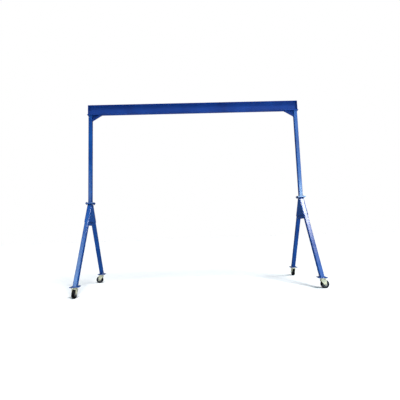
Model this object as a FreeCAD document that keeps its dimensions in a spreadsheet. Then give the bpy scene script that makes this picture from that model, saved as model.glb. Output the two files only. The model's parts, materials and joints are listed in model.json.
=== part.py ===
import FreeCAD, Part
import os
import Sketcher

# Portable gantry crane: an I-beam runway on two A-frame ends that roll on swivel casters.
# +X runs along the beam, +Y from the front legs to the rear legs, +Z up.
# The origin is on the floor, under the middle of the beam. All sizes are in millimetres.

SIZES = [
    ("beam_length", 4572.0),            # over the end plates
    ("beam_depth", 203.2),
    ("flange_width", 101.6),
    ("flange_tip_thickness", 6.9),
    ("flange_root_thickness", 14.7),
    ("web_thickness", 6.9),
    ("beam_fillet", 7.0),
    ("end_plate_thickness", 9.5),
    ("post_inset", 45.5),               # a post's centreline in from the beam's end
    ("tube_size", 76.2),                # posts and legs are one size of square tube
    ("tube_wall", 6.35),
    ("tube_corner", 9.5),
    ("post_length", 1905.0),
    ("saddle_thickness", 12.7),
    ("saddle_inner_reach", 226.0),      # from the post's centreline towards mid-span
    ("saddle_outer_reach", 60.5),
    ("saddle_width", 110.0),
    ("knee_drop", 116.0),               # height of the knee brace on the post
    ("knee_plate_thickness", 9.5),
    ("knee_web_thickness", 9.5),
    ("clamp_bolt_gauge", 57.2),         # across the beam's flange
    ("clamp_bolt_inner", 160.0),        # from the post's centreline to the inner pair
    ("clamp_bolt_pitch", 75.0),
    ("bevel_washer_size", 32.0),
    ("bevel_washer_thin_edge", 3.0),
    ("joint_flange_thickness", 12.7),
    ("joint_bolt_offset", 20.9),        # from the tube's face to the bolt's centre
    ("joint_bolt_edge", 21.0),          # from the bolt's centre to the flange's edge
    ("leg_rise", 1557.0),               # foot plate to head flange
    ("foot_spread", 1600.0),            # between the two legs' foot centres
    ("gusset_drop", 388.0),
    ("gusset_thickness", 6.35),
    ("cross_tube_size", 63.5),
    ("cross_tube_wall", 4.8),
    ("cross_tube_gap", 3.0),            # under the gusset's bottom edge
    ("foot_plate_width", 152.4),
    ("foot_plate_length", 158.8),
    ("foot_plate_thickness", 12.7),
    ("structural_bolt", 15.9),
    ("caster_bolt", 9.5),
    ("bolt_hole_clearance", 0.8),       # radial
    ("caster_height", 190.5),
    ("caster_plate_width", 114.3),
    ("caster_plate_length", 158.8),
    ("caster_plate_thickness", 6.35),
    ("caster_bolt_spacing_x", 85.7),
    ("caster_bolt_spacing_y", 133.4),
    ("wheel_diameter", 152.4),
    ("wheel_width", 50.8),
    ("tyre_thickness", 25.0),
    ("tread_shoulder", 4.0),           # how far the tread's edges are rounded off
    ("rim_thickness", 7.0),
    ("wheel_web_thickness", 12.0),
    ("hub_diameter", 44.0),
    ("swivel_trail", 44.0),
    ("fork_gap", 57.2),
    ("fork_steel", 6.35),
    ("fork_crown_height", 160.4),       # underside of the crown above the floor
    ("fork_crown_radius", 40.0),
    ("fork_eye_radius", 22.0),
    ("fork_shoulder", 26.0),            # depth of the arm's straight upper edge
    ("race_radius", 37.0),
    ("ball_diameter", 9.5),
    ("ball_circle_radius", 28.5),
    ("kingpin_diameter", 15.9),
    ("kingpin_nut_height", 8.0),
    ("axle_diameter", 12.7),
    ("running_clearance", 0.05),        # radial, pin to bore
    ("side_clearance", 0.4),            # between parts that slide past each other
]
BALLS = 14
HEX_POINTS = 6
EYE_STEPS = 8
ARM_FRONT = 0.75                        # the arms' front edge, as a share of the crown's radius

SIDES = [("left", -1), ("right", 1)]
ENDS = [("front", -1), ("rear", 1)]
# Direction in which each caster trails, as a turn about the swivel axis from +X.
CASTER_TURN = {
    "front_left": -90.0,
    "rear_left": 180.0,
    "front_right": 0.0,
    "rear_right": 90.0,
}

doc = FreeCAD.newDocument("portable_gantry_crane")
sheet = doc.addObject("Spreadsheet::Sheet", "Sizes")
for row, (alias, number) in enumerate(SIZES, start=1):
    sheet.set("A%d" % row, alias)
    sheet.set("B%d" % row, str(number))
    sheet.setAlias("B%d" % row, alias)
doc.recompute()

# Heights and places that follow from the driving sizes, as expressions.
HALF_TUBE = "(Sizes.tube_size / 2)"
FOOT_TOP = "(Sizes.caster_height + Sizes.foot_plate_thickness)"
HEAD = "(%s + Sizes.leg_rise)" % FOOT_TOP
JOINT_TOP = "(%s + 2 * Sizes.joint_flange_thickness)" % HEAD
SADDLE = "(%s + Sizes.post_length)" % JOINT_TOP
BEAM = "(%s + Sizes.saddle_thickness)" % SADDLE
POST_X = "(Sizes.beam_length / 2 - Sizes.post_inset)"
FOOT_Y = "(Sizes.foot_spread / 2)"
JOINT_BOLT_SPACING = "(Sizes.tube_size + 2 * Sizes.joint_bolt_offset)"
LEAN = "(Sizes.foot_spread / 2 / Sizes.leg_rise)"
LEG_HALF_CUT = "(%s * sqrt(1 + %s ^ 2))" % (HALF_TUBE, LEAN)
BOLT_HOLE = "(Sizes.structural_bolt / 2 + Sizes.bolt_hole_clearance)"
CASTER_HOLE = "(Sizes.caster_bolt / 2 + Sizes.bolt_hole_clearance)"
CASTER_PLATE_BOTTOM = "(Sizes.caster_height - Sizes.caster_plate_thickness)"
CROWN_TOP = "(Sizes.fork_crown_height + Sizes.fork_steel)"
WHEEL_RADIUS = "(Sizes.wheel_diameter / 2)"
CORE_RADIUS = "(%s - Sizes.tyre_thickness)" % WHEEL_RADIUS
HUB_HALF = "(Sizes.fork_gap / 2 - Sizes.side_clearance)"

nodes = []


def value(expression):
    """The number that an expression gives with the sheet as it stands."""
    return float(sheet.evalExpression(expression))


def keep(item, label):
    """Give a finished sub-part its name and put it on the list of files."""
    item.Label = label
    nodes.append(item)
    return item


def place(item, x="0", y="0", z="0", turn=0.0):
    """Put an object at a place given by expressions, turned about the vertical."""
    item.Placement = FreeCAD.Placement(
        FreeCAD.Vector(value(x), value(y), value(z)),
        FreeCAD.Rotation(FreeCAD.Vector(0, 0, 1), turn),
    )
    item.setExpression(".Placement.Base.x", x)
    item.setExpression(".Placement.Base.y", y)
    item.setExpression(".Placement.Base.z", z)
    return item


def new_body(name):
    return doc.addObject("PartDesign::Body", name + "_body")


def new_sketch(body, role):
    """A sketch on one of the body's own origin planes."""
    sketch = body.newObject("Sketcher::SketchObject", body.Name + "_sketch")
    plane = next(f for f in body.Origin.OriginFeatures if f.Role == role)
    sketch.AttachmentSupport = (plane, [""])
    sketch.MapMode = "FlatFace"
    return sketch


def measure(sketch, kind, geometry, point, number, expression):
    """Tie a point's distance from the sketch's origin to an expression."""
    index = sketch.addConstraint(Sketcher.Constraint(kind, -1, 1, geometry, point, number))
    sketch.setExpression("Constraints[%d]" % index, expression)


def polygon(body, role, corners):
    """A closed outline of straight sides; each corner is two expressions."""
    sketch = new_sketch(body, role)
    points = [FreeCAD.Vector(value(x), value(y), 0) for x, y in corners]
    count = len(points)
    for i in range(count):
        sketch.addGeometry(Part.LineSegment(points[i], points[(i + 1) % count]), False)
    for i in range(count):
        sketch.addConstraint(Sketcher.Constraint("Coincident", i, 2, (i + 1) % count, 1))
    for i, (x, y) in enumerate(corners):
        measure(sketch, "DistanceX", i, 1, points[i].x, x)
        measure(sketch, "DistanceY", i, 1, points[i].y, y)
    return sketch


def rectangle(body, role, half_x, half_y):
    """A rectangle centred on the sketch's origin."""
    return polygon(body, role, [
        ("-" + half_x, "-" + half_y),
        (half_x, "-" + half_y),
        (half_x, half_y),
        ("-" + half_x, half_y),
    ])


def circles(body, role, radius, centres):
    """Circles of one radius; each centre is two expressions."""
    sketch = new_sketch(body, role)
    for i, (x, y) in enumerate(centres):
        centre = FreeCAD.Vector(value(x), value(y), 0)
        normal = FreeCAD.Vector(0, 0, 1)
        sketch.addGeometry(Part.Circle(centre, normal, value(radius)), False)
        index = sketch.addConstraint(Sketcher.Constraint("Radius", i, value(radius)))
        sketch.setExpression("Constraints[%d]" % index, radius)
        measure(sketch, "DistanceX", i, 3, centre.x, x)
        measure(sketch, "DistanceY", i, 3, centre.y, y)
    return sketch


def four_corners(spacing_x, spacing_y):
    """The centres of four holes on a rectangle."""
    signs = [(-1, -1), (1, -1), (1, 1), (-1, 1)]
    return [("%d * %s / 2" % (i, spacing_x), "%d * %s / 2" % (j, spacing_y)) for i, j in signs]


def pad(body, sketch, length, midplane=False, offset=None):
    """Give a sketch its thickness, to one side or evenly about its plane."""
    feature = body.newObject("PartDesign::Pad", body.Name + "_pad")
    feature.Profile = sketch
    feature.setExpression("Length", length)
    feature.SideType = "Symmetric" if midplane else "One side"
    if offset:
        sketch.setExpression(".AttachmentOffset.Base.z", offset)
    return feature


def pocket(body, sketch, length=None, midplane=False, upwards=False):
    """Cut a sketch's outline out of the body, right through unless a length is given."""
    feature = body.newObject("PartDesign::Pocket", body.Name + "_pocket")
    feature.Profile = sketch
    feature.Type = "Length" if length else "ThroughAll"
    if length:
        feature.setExpression("Length", length)
    feature.SideType = "Symmetric" if midplane else "One side"
    feature.Reversed = upwards
    return feature


def round_edges(body, base, radius, wanted):
    """Fillet the edges of a feature whose shape passes a test."""
    doc.recompute()
    names = [
        "Edge%d" % (i + 1)
        for i, edge in enumerate(base.Shape.Edges)
        if wanted(edge)
    ]
    feature = body.newObject("PartDesign::Fillet", body.Name + "_fillet")
    feature.Base = (base, names)
    feature.setExpression("Radius", radius)
    return feature


def runs_up(edge):
    """True for a straight edge that climbs, such as a tube's long corners."""
    ends = [vertex.Point for vertex in edge.Vertexes]
    if len(ends) < 2:
        return False
    return abs(ends[0].z - ends[1].z) > 0.2 * edge.Length and abs(ends[0].x - ends[1].x) < 0.01


def flat_plate(name, half_x, half_y, thickness, holes, hole_radius):
    """A horizontal rectangular plate with a hole for each centre in the list."""
    body = new_body(name)
    pad(body, rectangle(body, "XY_Plane", half_x, half_y), thickness)
    pocket(body, circles(body, "XY_Plane", hole_radius, holes), upwards=True)
    return body


# --- Fasteners ---------------------------------------------------------------------------

def hexagon(name, diameter, height, x, y, z):
    """A hexagonal prism whose size follows the bolt's diameter."""
    prism = doc.addObject("Part::Prism", name)
    prism.Polygon = HEX_POINTS
    prism.setExpression("Circumradius", "%s * 0.866" % diameter)
    prism.setExpression("Height", height)
    return place(prism, x, y, z)


def rod(name, radius, height, x, y, z):
    cylinder = doc.addObject("Part::Cylinder", name)
    cylinder.setExpression("Radius", radius)
    cylinder.setExpression("Height", height)
    return place(cylinder, x, y, z)


def cut(name, base, tool):
    result = doc.addObject("Part::Cut", name)
    result.Base = base
    result.Tool = tool
    return result


def fuse(name, pieces):
    result = doc.addObject("Part::MultiFuse", name)
    result.Shapes = pieces
    return result


def washer(name, diameter, x, y, z):
    """A flat washer, a bolt's clearance wider than its shank."""
    height = "%s * 0.16" % diameter
    disc = rod(name + "_disc", "%s * 0.98" % diameter, height, x, y, z)
    hole = rod(name + "_hole", "%s / 2 + Sizes.bolt_hole_clearance" % diameter, height, x, y, z)
    return cut(name, disc, hole)


def bolt_set(name, diameter, x, y, grip_low, grip_high, top_washer=True):
    """A hex bolt from above with a washer under its head and a washer and nut below.

    The shank fits the nut exactly; grip_low and grip_high are the faces clamped together.
    """
    washer_height = "%s * 0.16" % diameter
    head_z = "%s + %s" % (grip_high, washer_height if top_washer else "0")
    nut_z = "%s - %s - %s * 0.85" % (grip_low, washer_height, diameter)
    tail_z = "%s - %s * 0.2" % (nut_z, diameter)
    head = hexagon(name + "_head", diameter, "%s * 0.65" % diameter, x, y, head_z)
    shank = rod(name + "_shank", "%s / 2" % diameter, "%s - (%s)" % (head_z, tail_z), x, y, tail_z)
    nut = hexagon(name + "_nut_blank", diameter, "%s * 0.85" % diameter, x, y, nut_z)
    thread = rod(name + "_thread", "%s / 2" % diameter, "%s * 0.85" % diameter, x, y, nut_z)
    pieces = [fuse(name, [head, shank]), cut(name + "_nut", nut, thread)]
    pieces.append(washer(name + "_low_washer", diameter, x, y, "%s - %s" % (grip_low, washer_height)))
    if top_washer:
        pieces.append(washer(name + "_top_washer", diameter, x, y, grip_high))
    return pieces


def group(label, pieces):
    """One node that holds several separate solids."""
    compound = doc.addObject("Part::Compound", label + "_group")
    compound.Links = pieces
    return keep(compound, label)


# --- Beam --------------------------------------------------------------------------------

def make_beam():
    """Rolled I-section: flanges taper from the web to their tips."""
    body = new_body("i_beam")
    half_web = "(Sizes.web_thickness / 2)"
    half_flange = "(Sizes.flange_width / 2)"
    tip = "Sizes.flange_tip_thickness"
    root = "Sizes.flange_root_thickness"
    right = [
        (half_flange, "0"),
        (half_flange, tip),
        (half_web, root),
        (half_web, "Sizes.beam_depth - %s" % root),
        (half_flange, "Sizes.beam_depth - %s" % tip),
        (half_flange, "Sizes.beam_depth"),
    ]
    left = [("-" + x, z) for x, z in reversed(right)]
    section = polygon(body, "YZ_Plane", right + left)
    length = "Sizes.beam_length - 2 * Sizes.end_plate_thickness"
    blank = pad(body, section, length, midplane=True)
    half = value(half_web)

    def at_web(edge):
        ends = [vertex.Point for vertex in edge.Vertexes]
        along = abs(ends[0].x - ends[1].x) > 0.9 * value(length)
        return along and abs(abs(ends[0].y) - half) < 0.01

    round_edges(body, blank, "Sizes.beam_fillet", at_web)
    centres = []
    for _, side in SIDES:
        for reach in clamp_bolt_reaches():
            for _, row in ENDS:
                x = "%d * (%s - %s)" % (side, POST_X, reach)
                centres.append((x, "%d * Sizes.clamp_bolt_gauge / 2" % row))
    holes = circles(body, "XY_Plane", BOLT_HOLE, centres)
    pocket(body, holes, "Sizes.flange_root_thickness", upwards=True)
    place(body, z=BEAM)
    keep(body, "i_beam")


def clamp_bolt_reaches():
    """Distances of the two bolt pairs from the post's centreline."""
    return [
        "Sizes.clamp_bolt_inner",
        "(Sizes.clamp_bolt_inner - Sizes.clamp_bolt_pitch)",
    ]


def make_end_plate(side_name, side):
    body = new_body("end_plate_" + side_name)
    outline = polygon(body, "YZ_Plane", [
        ("-Sizes.flange_width / 2", "0"),
        ("Sizes.flange_width / 2", "0"),
        ("Sizes.flange_width / 2", "Sizes.beam_depth"),
        ("-Sizes.flange_width / 2", "Sizes.beam_depth"),
    ])
    pad(body, outline, "Sizes.end_plate_thickness", midplane=True)
    x = "%d * (Sizes.beam_length / 2 - Sizes.end_plate_thickness / 2)" % side
    place(body, x=x, z=BEAM)
    keep(body, "end_plate_" + side_name)


def make_saddle(side_name, side):
    """Plate under the beam, welded to the head of the post."""
    body = new_body("saddle_plate_" + side_name)
    inner = "%d * Sizes.saddle_inner_reach" % -side
    outer = "%d * Sizes.saddle_outer_reach" % side
    half = "(Sizes.saddle_width / 2)"
    outline = polygon(body, "XY_Plane", [
        (inner, "-" + half),
        (outer, "-" + half),
        (outer, half),
        (inner, half),
    ])
    pad(body, outline, "Sizes.saddle_thickness")
    centres = [
        ("%d * %s" % (-side, reach), "%d * Sizes.clamp_bolt_gauge / 2" % row)
        for reach in clamp_bolt_reaches()
        for _, row in ENDS
    ]
    pocket(body, circles(body, "XY_Plane", BOLT_HOLE, centres), upwards=True)
    place(body, x="%d * %s" % (side, POST_X), z=SADDLE)
    keep(body, "saddle_plate_" + side_name)


def make_knee(side_name, side):
    """Sloping plate and its upright web in the corner under the saddle plate."""
    reach = "(Sizes.saddle_inner_reach - %s)" % HALF_TUBE
    drop = "Sizes.knee_drop"
    steel = "(Sizes.knee_plate_thickness * sqrt(1 + (%s / %s) ^ 2))" % (drop, reach)
    face = "%d * %s" % (-side, HALF_TUBE)
    tip = "%d * Sizes.saddle_inner_reach" % -side
    near_tip = "%d * (Sizes.saddle_inner_reach - %s * %s / %s)" % (-side, steel, reach, drop)
    plate = new_body("knee_plate_" + side_name)
    outline = polygon(plate, "XZ_Plane", [
        (tip, "0"),
        (near_tip, "0"),
        (face, "-(%s - %s)" % (drop, steel)),
        (face, "-" + drop),
    ])
    pad(plate, outline, "Sizes.tube_size", midplane=True)
    place(plate, x="%d * %s" % (side, POST_X), z=SADDLE)
    keep(plate, "knee_plate_" + side_name)
    web = new_body("knee_web_" + side_name)
    outline = polygon(web, "XZ_Plane", [
        (near_tip, "0"),
        (face, "0"),
        (face, "-(%s - %s)" % (drop, steel)),
    ])
    pad(web, outline, "Sizes.knee_web_thickness", midplane=True)
    place(web, x="%d * %s" % (side, POST_X), z=SADDLE)
    keep(web, "knee_web_" + side_name)


def make_bevel_washer(name, x, row):
    """Wedge that gives the bolt head a level seat on the tapered flange."""
    slope = ("((Sizes.flange_root_thickness - Sizes.flange_tip_thickness)"
             " / (Sizes.flange_width / 2 - Sizes.web_thickness / 2))")
    centre = "(Sizes.clamp_bolt_gauge / 2)"
    near = "(%s - Sizes.bevel_washer_size / 2)" % centre
    far = "(%s + Sizes.bevel_washer_size / 2)" % centre
    tip = "Sizes.flange_tip_thickness"
    rise_near = "(%s + %s * (Sizes.flange_width / 2 - %s))" % (tip, slope, near)
    rise_far = "(%s + %s * (Sizes.flange_width / 2 - %s))" % (tip, slope, far)
    seat = "(%s + Sizes.bevel_washer_thin_edge)" % rise_near
    body = new_body(name)
    outline = polygon(body, "YZ_Plane", [
        ("%d * %s" % (row, near), rise_near),
        ("%d * %s" % (row, far), rise_far),
        ("%d * %s" % (row, far), seat),
        ("%d * %s" % (row, near), seat),
    ])
    pad(body, outline, "Sizes.bevel_washer_size", midplane=True)
    hole = circles(body, "XY_Plane", BOLT_HOLE, [("0", "%d * %s" % (row, centre))])
    pocket(body, hole, upwards=True)
    place(body, x=x, z=BEAM)
    return body, "%s + %s" % (BEAM, seat)


def make_clamp_bolts():
    """Two pairs of bolts at each end hold the lower flange on the saddle plate."""
    pieces = []
    for side_name, side in SIDES:
        for pair, reach in enumerate(clamp_bolt_reaches(), start=1):
            for row_name, row in ENDS:
                name = "clamp_%s_%s_%d" % (side_name, row_name, pair)
                x = "%d * (%s - %s)" % (side, POST_X, reach)
                y = "%d * Sizes.clamp_bolt_gauge / 2" % row
                wedge, seat = make_bevel_washer(name + "_wedge", x, row)
                pieces.append(wedge)
                pieces += bolt_set(name, "Sizes.structural_bolt", x, y, SADDLE, seat, False)
    group("beam_clamp_bolts", pieces)


# --- Posts and A-frames --------------------------------------------------------------------

def make_post(side_name, side):
    body = new_body("upper_post_" + side_name)
    outer = pad(body, rectangle(body, "XY_Plane", HALF_TUBE, HALF_TUBE), "Sizes.post_length")
    round_edges(body, outer, "Sizes.tube_corner", runs_up)
    bore = "(%s - Sizes.tube_wall)" % HALF_TUBE
    pocket(body, rectangle(body, "XY_Plane", bore, bore), upwards=True)
    place(body, x="%d * %s" % (side, POST_X), z=JOINT_TOP)
    keep(body, "upper_post_" + side_name)


def make_joint_flanges(side_name, side):
    """The bolted plate pair between the post and the A-frame."""
    half = "(%s / 2 + Sizes.joint_bolt_edge)" % JOINT_BOLT_SPACING
    holes = four_corners(JOINT_BOLT_SPACING, JOINT_BOLT_SPACING)
    x = "%d * %s" % (side, POST_X)
    steel = "Sizes.joint_flange_thickness"
    for name, z in [("leg_head_flange_", HEAD), ("post_flange_", "%s + %s" % (HEAD, steel))]:
        body = flat_plate(name + side_name, half, half, steel, holes, BOLT_HOLE)
        place(body, x=x, z=z)
        keep(body, name + side_name)


def make_joint_bolts():
    pieces = []
    for side_name, side in SIDES:
        corners = four_corners(JOINT_BOLT_SPACING, JOINT_BOLT_SPACING)
        for corner, (dx, dy) in enumerate(corners, start=1):
            name = "joint_%s_%d" % (side_name, corner)
            x = "%d * %s + %s" % (side, POST_X, dx)
            pieces += bolt_set(name, "Sizes.structural_bolt", x, dy, HEAD, JOINT_TOP)
    group("post_joint_bolts", pieces)


def leg_y(height_below_head, edge):
    """Distance from mid-plane of a leg's outer (edge 1) or inner (edge -1) line."""
    return "(%s * (%s) + %d * %s)" % (LEAN, height_below_head, edge, LEG_HALF_CUT)


def make_leg(end_name, end, side_name, side):
    """Leaning square tube, cut level at both ends and mitred against its partner."""
    name = "leg_%s_%s" % (end_name, side_name)
    rise = "Sizes.leg_rise"
    body = new_body(name)
    mitre = "(%s - %s / %s)" % (rise, LEG_HALF_CUT, LEAN)
    corners = [
        (leg_y(rise, 1), "0"),
        (leg_y(rise, -1), "0"),
        ("0", mitre),
        ("0", rise),
        (LEG_HALF_CUT, rise),
    ]
    outline = polygon(body, "YZ_Plane", [("%d * %s" % (end, y), z) for y, z in corners])
    blank = pad(body, outline, "Sizes.tube_size", midplane=True)

    def long_corner(edge):
        return runs_up(edge) and edge.Length > 0.8 * value(rise)

    round_edges(body, blank, "Sizes.tube_corner", long_corner)
    bore_cut = "(%s - Sizes.tube_wall * sqrt(1 + %s ^ 2))" % (LEG_HALF_CUT, LEAN)
    bore = [
        ("%s * (%s) + %s" % (LEAN, rise, bore_cut), "0"),
        ("%s * (%s) - %s" % (LEAN, rise, bore_cut), "0"),
        ("-" + bore_cut, rise),
        (bore_cut, rise),
    ]
    inner = polygon(body, "YZ_Plane", [("%d * (%s)" % (end, y), z) for y, z in bore])
    pocket(body, inner, "Sizes.tube_size - 2 * Sizes.tube_wall", midplane=True)
    place(body, x="%d * %s" % (side, POST_X), z=FOOT_TOP)
    keep(body, name)


def make_gussets(side_name, side):
    """Plates over the side faces of both leg heads, flush with their outer edges."""
    drop = "Sizes.gusset_drop"
    for name, way in [("gusset_inner_", -1), ("gusset_outer_", 1)]:
        body = new_body(name + side_name)
        outline = polygon(body, "YZ_Plane", [
            ("-" + leg_y(drop, 1), "-" + drop),
            (leg_y(drop, 1), "-" + drop),
            (LEG_HALF_CUT, "0"),
            ("-" + LEG_HALF_CUT, "0"),
        ])
        pad(body, outline, "Sizes.gusset_thickness", midplane=True)
        offset = "%d * (%s + Sizes.gusset_thickness / 2)" % (side * way, HALF_TUBE)
        place(body, x="%d * %s + %s" % (side, POST_X, offset), z=HEAD)
        keep(body, name + side_name)


def make_cross_tube(side_name, side):
    """Short level tube between the legs, its ends cut to the legs' lean."""
    body = new_body("cross_tube_" + side_name)
    top = "(Sizes.gusset_drop + Sizes.cross_tube_gap)"
    low = "(%s + Sizes.cross_tube_size)" % top
    outline = polygon(body, "YZ_Plane", [
        ("-" + leg_y(low, -1), "-" + low),
        (leg_y(low, -1), "-" + low),
        (leg_y(top, -1), "-" + top),
        ("-" + leg_y(top, -1), "-" + top),
    ])
    pad(body, outline, "Sizes.cross_tube_size", midplane=True)
    wall = "Sizes.cross_tube_wall"
    reach = leg_y(low, 1)
    inner = polygon(body, "YZ_Plane", [
        ("-" + reach, "-(%s - %s)" % (low, wall)),
        (reach, "-(%s - %s)" % (low, wall)),
        (reach, "-(%s + %s)" % (top, wall)),
        ("-" + reach, "-(%s + %s)" % (top, wall)),
    ])
    pocket(body, inner, "Sizes.cross_tube_size - 2 * %s" % wall, midplane=True)
    place(body, x="%d * %s" % (side, POST_X), z=HEAD)
    keep(body, "cross_tube_" + side_name)


def caster_bolt_centres():
    return four_corners("Sizes.caster_bolt_spacing_x", "Sizes.caster_bolt_spacing_y")


def make_foot_plate(corner, x, y):
    half_x = "(Sizes.foot_plate_width / 2)"
    half_y = "(Sizes.foot_plate_length / 2)"
    steel = "Sizes.foot_plate_thickness"
    name = "foot_plate_" + corner
    body = flat_plate(name, half_x, half_y, steel, caster_bolt_centres(), CASTER_HOLE)
    place(body, x=x, y=y, z="Sizes.caster_height")
    keep(body, name)


# --- Casters -------------------------------------------------------------------------------
# Each is built with its swivel axis on Z and its wheel trailing towards +X, then turned.

def make_caster_plate(corner, x, y):
    """Top plate with the pressed ring that holds the balls from above and outside."""
    body = new_body("caster_plate_" + corner)
    half_x = "(Sizes.caster_plate_width / 2)"
    half_y = "(Sizes.caster_plate_length / 2)"
    plate = rectangle(body, "XY_Plane", half_x, half_y)
    pad(body, plate, "Sizes.caster_plate_thickness")
    ring_depth = "(%s - %s - Sizes.side_clearance)" % (CASTER_PLATE_BOTTOM, CROWN_TOP)
    ring = circles(body, "XY_Plane", "Sizes.race_radius", [("0", "0")])
    down = pad(body, ring, ring_depth)
    down.Reversed = True
    ball_room = "(Sizes.ball_diameter / 2 + Sizes.side_clearance)"
    track = polygon(body, "XZ_Plane", [
        ("Sizes.ball_circle_radius - %s" % ball_room, "-%s" % ring_depth),
        ("Sizes.ball_circle_radius + %s" % ball_room, "-%s" % ring_depth),
        ("Sizes.ball_circle_radius + %s" % ball_room, "-(%s)" % ball_top_below_plate()),
        ("Sizes.ball_circle_radius - %s" % ball_room, "-(%s)" % ball_top_below_plate()),
    ])
    groove = body.newObject("PartDesign::Groove", body.Name + "_track")
    groove.Profile = track
    groove.ReferenceAxis = (track, ["V_Axis"])
    bore = "(Sizes.kingpin_diameter / 2)"
    pocket(body, circles(body, "XY_Plane", bore, [("0", "0")]), midplane=True)
    holes = circles(body, "XY_Plane", CASTER_HOLE, caster_bolt_centres())
    pocket(body, holes, midplane=True)
    place(body, x=x, y=y, z=CASTER_PLATE_BOTTOM)
    keep(body, "caster_plate_" + corner)


def ball_top_below_plate():
    """Depth of the ring groove's roof under the top plate's underside."""
    return "%s - %s - Sizes.ball_diameter - Sizes.side_clearance" % (CASTER_PLATE_BOTTOM, CROWN_TOP)


def make_balls(corner, x, y):
    """Ring of balls that lie on the fork's crown."""
    pieces = []
    step = 360.0 / BALLS
    for index in range(BALLS):
        ball = doc.addObject("Part::Sphere", "ball_%s_%d" % (corner, index))
        ball.setExpression("Radius", "Sizes.ball_diameter / 2")
        angle = "%.4f deg" % (step * index)
        place(
            ball,
            "%s + Sizes.ball_circle_radius * cos(%s)" % (x, angle),
            "%s + Sizes.ball_circle_radius * sin(%s)" % (y, angle),
            "%s + Sizes.ball_diameter / 2" % CROWN_TOP,
        )
        pieces.append(ball)
    group("swivel_balls_" + corner, pieces)


def make_kingpin(corner, x, y):
    """Pin riveted in the top plate; its nut holds the fork up under the balls."""
    name = "kingpin_" + corner
    nut_top = "(Sizes.fork_crown_height - Sizes.side_clearance)"
    low = "(%s - Sizes.kingpin_nut_height)" % nut_top
    pin_radius = "Sizes.kingpin_diameter / 2"
    pin = rod(name + "_pin", pin_radius, "Sizes.caster_height - %s" % low, x, y, low)
    nut = hexagon(name + "_nut", "Sizes.kingpin_diameter", "Sizes.kingpin_nut_height", x, y, low)
    keep(fuse(name + "_fused", [pin, nut]), name)


def make_fork(corner, x, y, turn):
    """Crown and two arms pressed from one plate, with an eye for the axle in each arm."""
    body = new_body("fork_" + corner)
    trail = "Sizes.swivel_trail"
    axle = WHEEL_RADIUS
    eye = "Sizes.fork_eye_radius"
    crown = "Sizes.fork_crown_radius"
    shoulder = "(Sizes.fork_crown_height - Sizes.fork_shoulder)"
    front = "(%s * %.4f)" % (crown, ARM_FRONT)
    # The eye is drawn as a run of short sides below the axle, from its rear to its front.
    rim = []
    for step in range(EYE_STEPS + 1):
        angle = "%.2f deg" % (-180.0 * step / EYE_STEPS)
        rim.append(("%s + %s * cos(%s)" % (trail, eye, angle), "%s + %s * sin(%s)" % (axle, eye, angle)))
    side_view = polygon(body, "XZ_Plane", rim + [
        ("-%s * 0.6" % front, "%s - Sizes.fork_shoulder * 0.4" % shoulder),
        ("-%s" % front, shoulder),
        ("-%s" % front, CROWN_TOP),
        ("%s + %s" % (trail, eye), CROWN_TOP),
    ])
    width = "(Sizes.fork_gap + 2 * Sizes.fork_steel)"
    pad(body, side_view, width, midplane=True)
    long_way = "(%s + %s + %s)" % (trail, crown, eye)
    gap = "(Sizes.fork_gap / 2)"
    throat = polygon(body, "YZ_Plane", [
        ("-" + gap, "0"),
        (gap, "0"),
        (gap, "Sizes.fork_crown_height"),
        ("-" + gap, "Sizes.fork_crown_height"),
    ])
    pocket(body, throat, "2 * %s" % long_way, midplane=True)
    disc = circles(body, "XY_Plane", crown, [("0", "0")])
    pad(body, disc, "Sizes.fork_steel", offset="Sizes.fork_crown_height")
    pin_hole = "(Sizes.kingpin_diameter / 2 + Sizes.running_clearance)"
    pocket(body, circles(body, "XY_Plane", pin_hole, [("0", "0")]), upwards=True)
    axle_hole = circles(body, "XZ_Plane", "(Sizes.axle_diameter / 2)", [(trail, axle)])
    pocket(body, axle_hole, midplane=True)
    place(body, x=x, y=y, turn=turn)
    keep(body, "fork_" + corner)


def turned(body, profile, name):
    """Spin a wheel's section about the axle, which is the sketch's vertical axis."""
    feature = body.newObject("PartDesign::Revolution", body.Name + name)
    feature.Profile = profile
    feature.ReferenceAxis = (profile, ["V_Axis"])
    return feature


def axle_place(x, y, turn):
    """The wheel's centre for a caster at x, y that trails in the given direction."""
    trail_x = "%s + Sizes.swivel_trail * cos(%.1f deg)" % (x, turn)
    trail_y = "%s + Sizes.swivel_trail * sin(%.1f deg)" % (y, turn)
    return trail_x, trail_y


def lay_wheel(item, x, y, turn):
    """Turn a piece modelled about Z so that its axis lies along the axle."""
    wheel_x, wheel_y = axle_place(x, y, turn)
    place(item, wheel_x, wheel_y, WHEEL_RADIUS)
    upright = FreeCAD.Rotation(FreeCAD.Vector(1, 0, 0), 90)
    about = FreeCAD.Rotation(FreeCAD.Vector(0, 0, 1), turn)
    item.Placement = FreeCAD.Placement(item.Placement.Base, about.multiply(upright))
    return item


def make_tyre(corner, x, y, turn):
    """Solid tread with rounded shoulders, moulded on the rim."""
    body = new_body("tyre_" + corner)
    half = "(Sizes.wheel_width / 2)"
    drop = "Sizes.tread_shoulder"
    section = polygon(body, "XZ_Plane", [
        (CORE_RADIUS, "-%s" % half),
        ("%s - %s * 1.6" % (WHEEL_RADIUS, drop), "-%s" % half),
        ("%s - %s * 0.6" % (WHEEL_RADIUS, drop), "-%s + %s * 0.6" % (half, drop)),
        (WHEEL_RADIUS, "-%s + %s * 2" % (half, drop)),
        (WHEEL_RADIUS, "%s - %s * 2" % (half, drop)),
        ("%s - %s * 0.6" % (WHEEL_RADIUS, drop), "%s - %s * 0.6" % (half, drop)),
        ("%s - %s * 1.6" % (WHEEL_RADIUS, drop), half),
        (CORE_RADIUS, half),
    ])
    turned(body, section, "_spin")
    keep(lay_wheel(body, x, y, turn), "tyre_" + corner)


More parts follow.
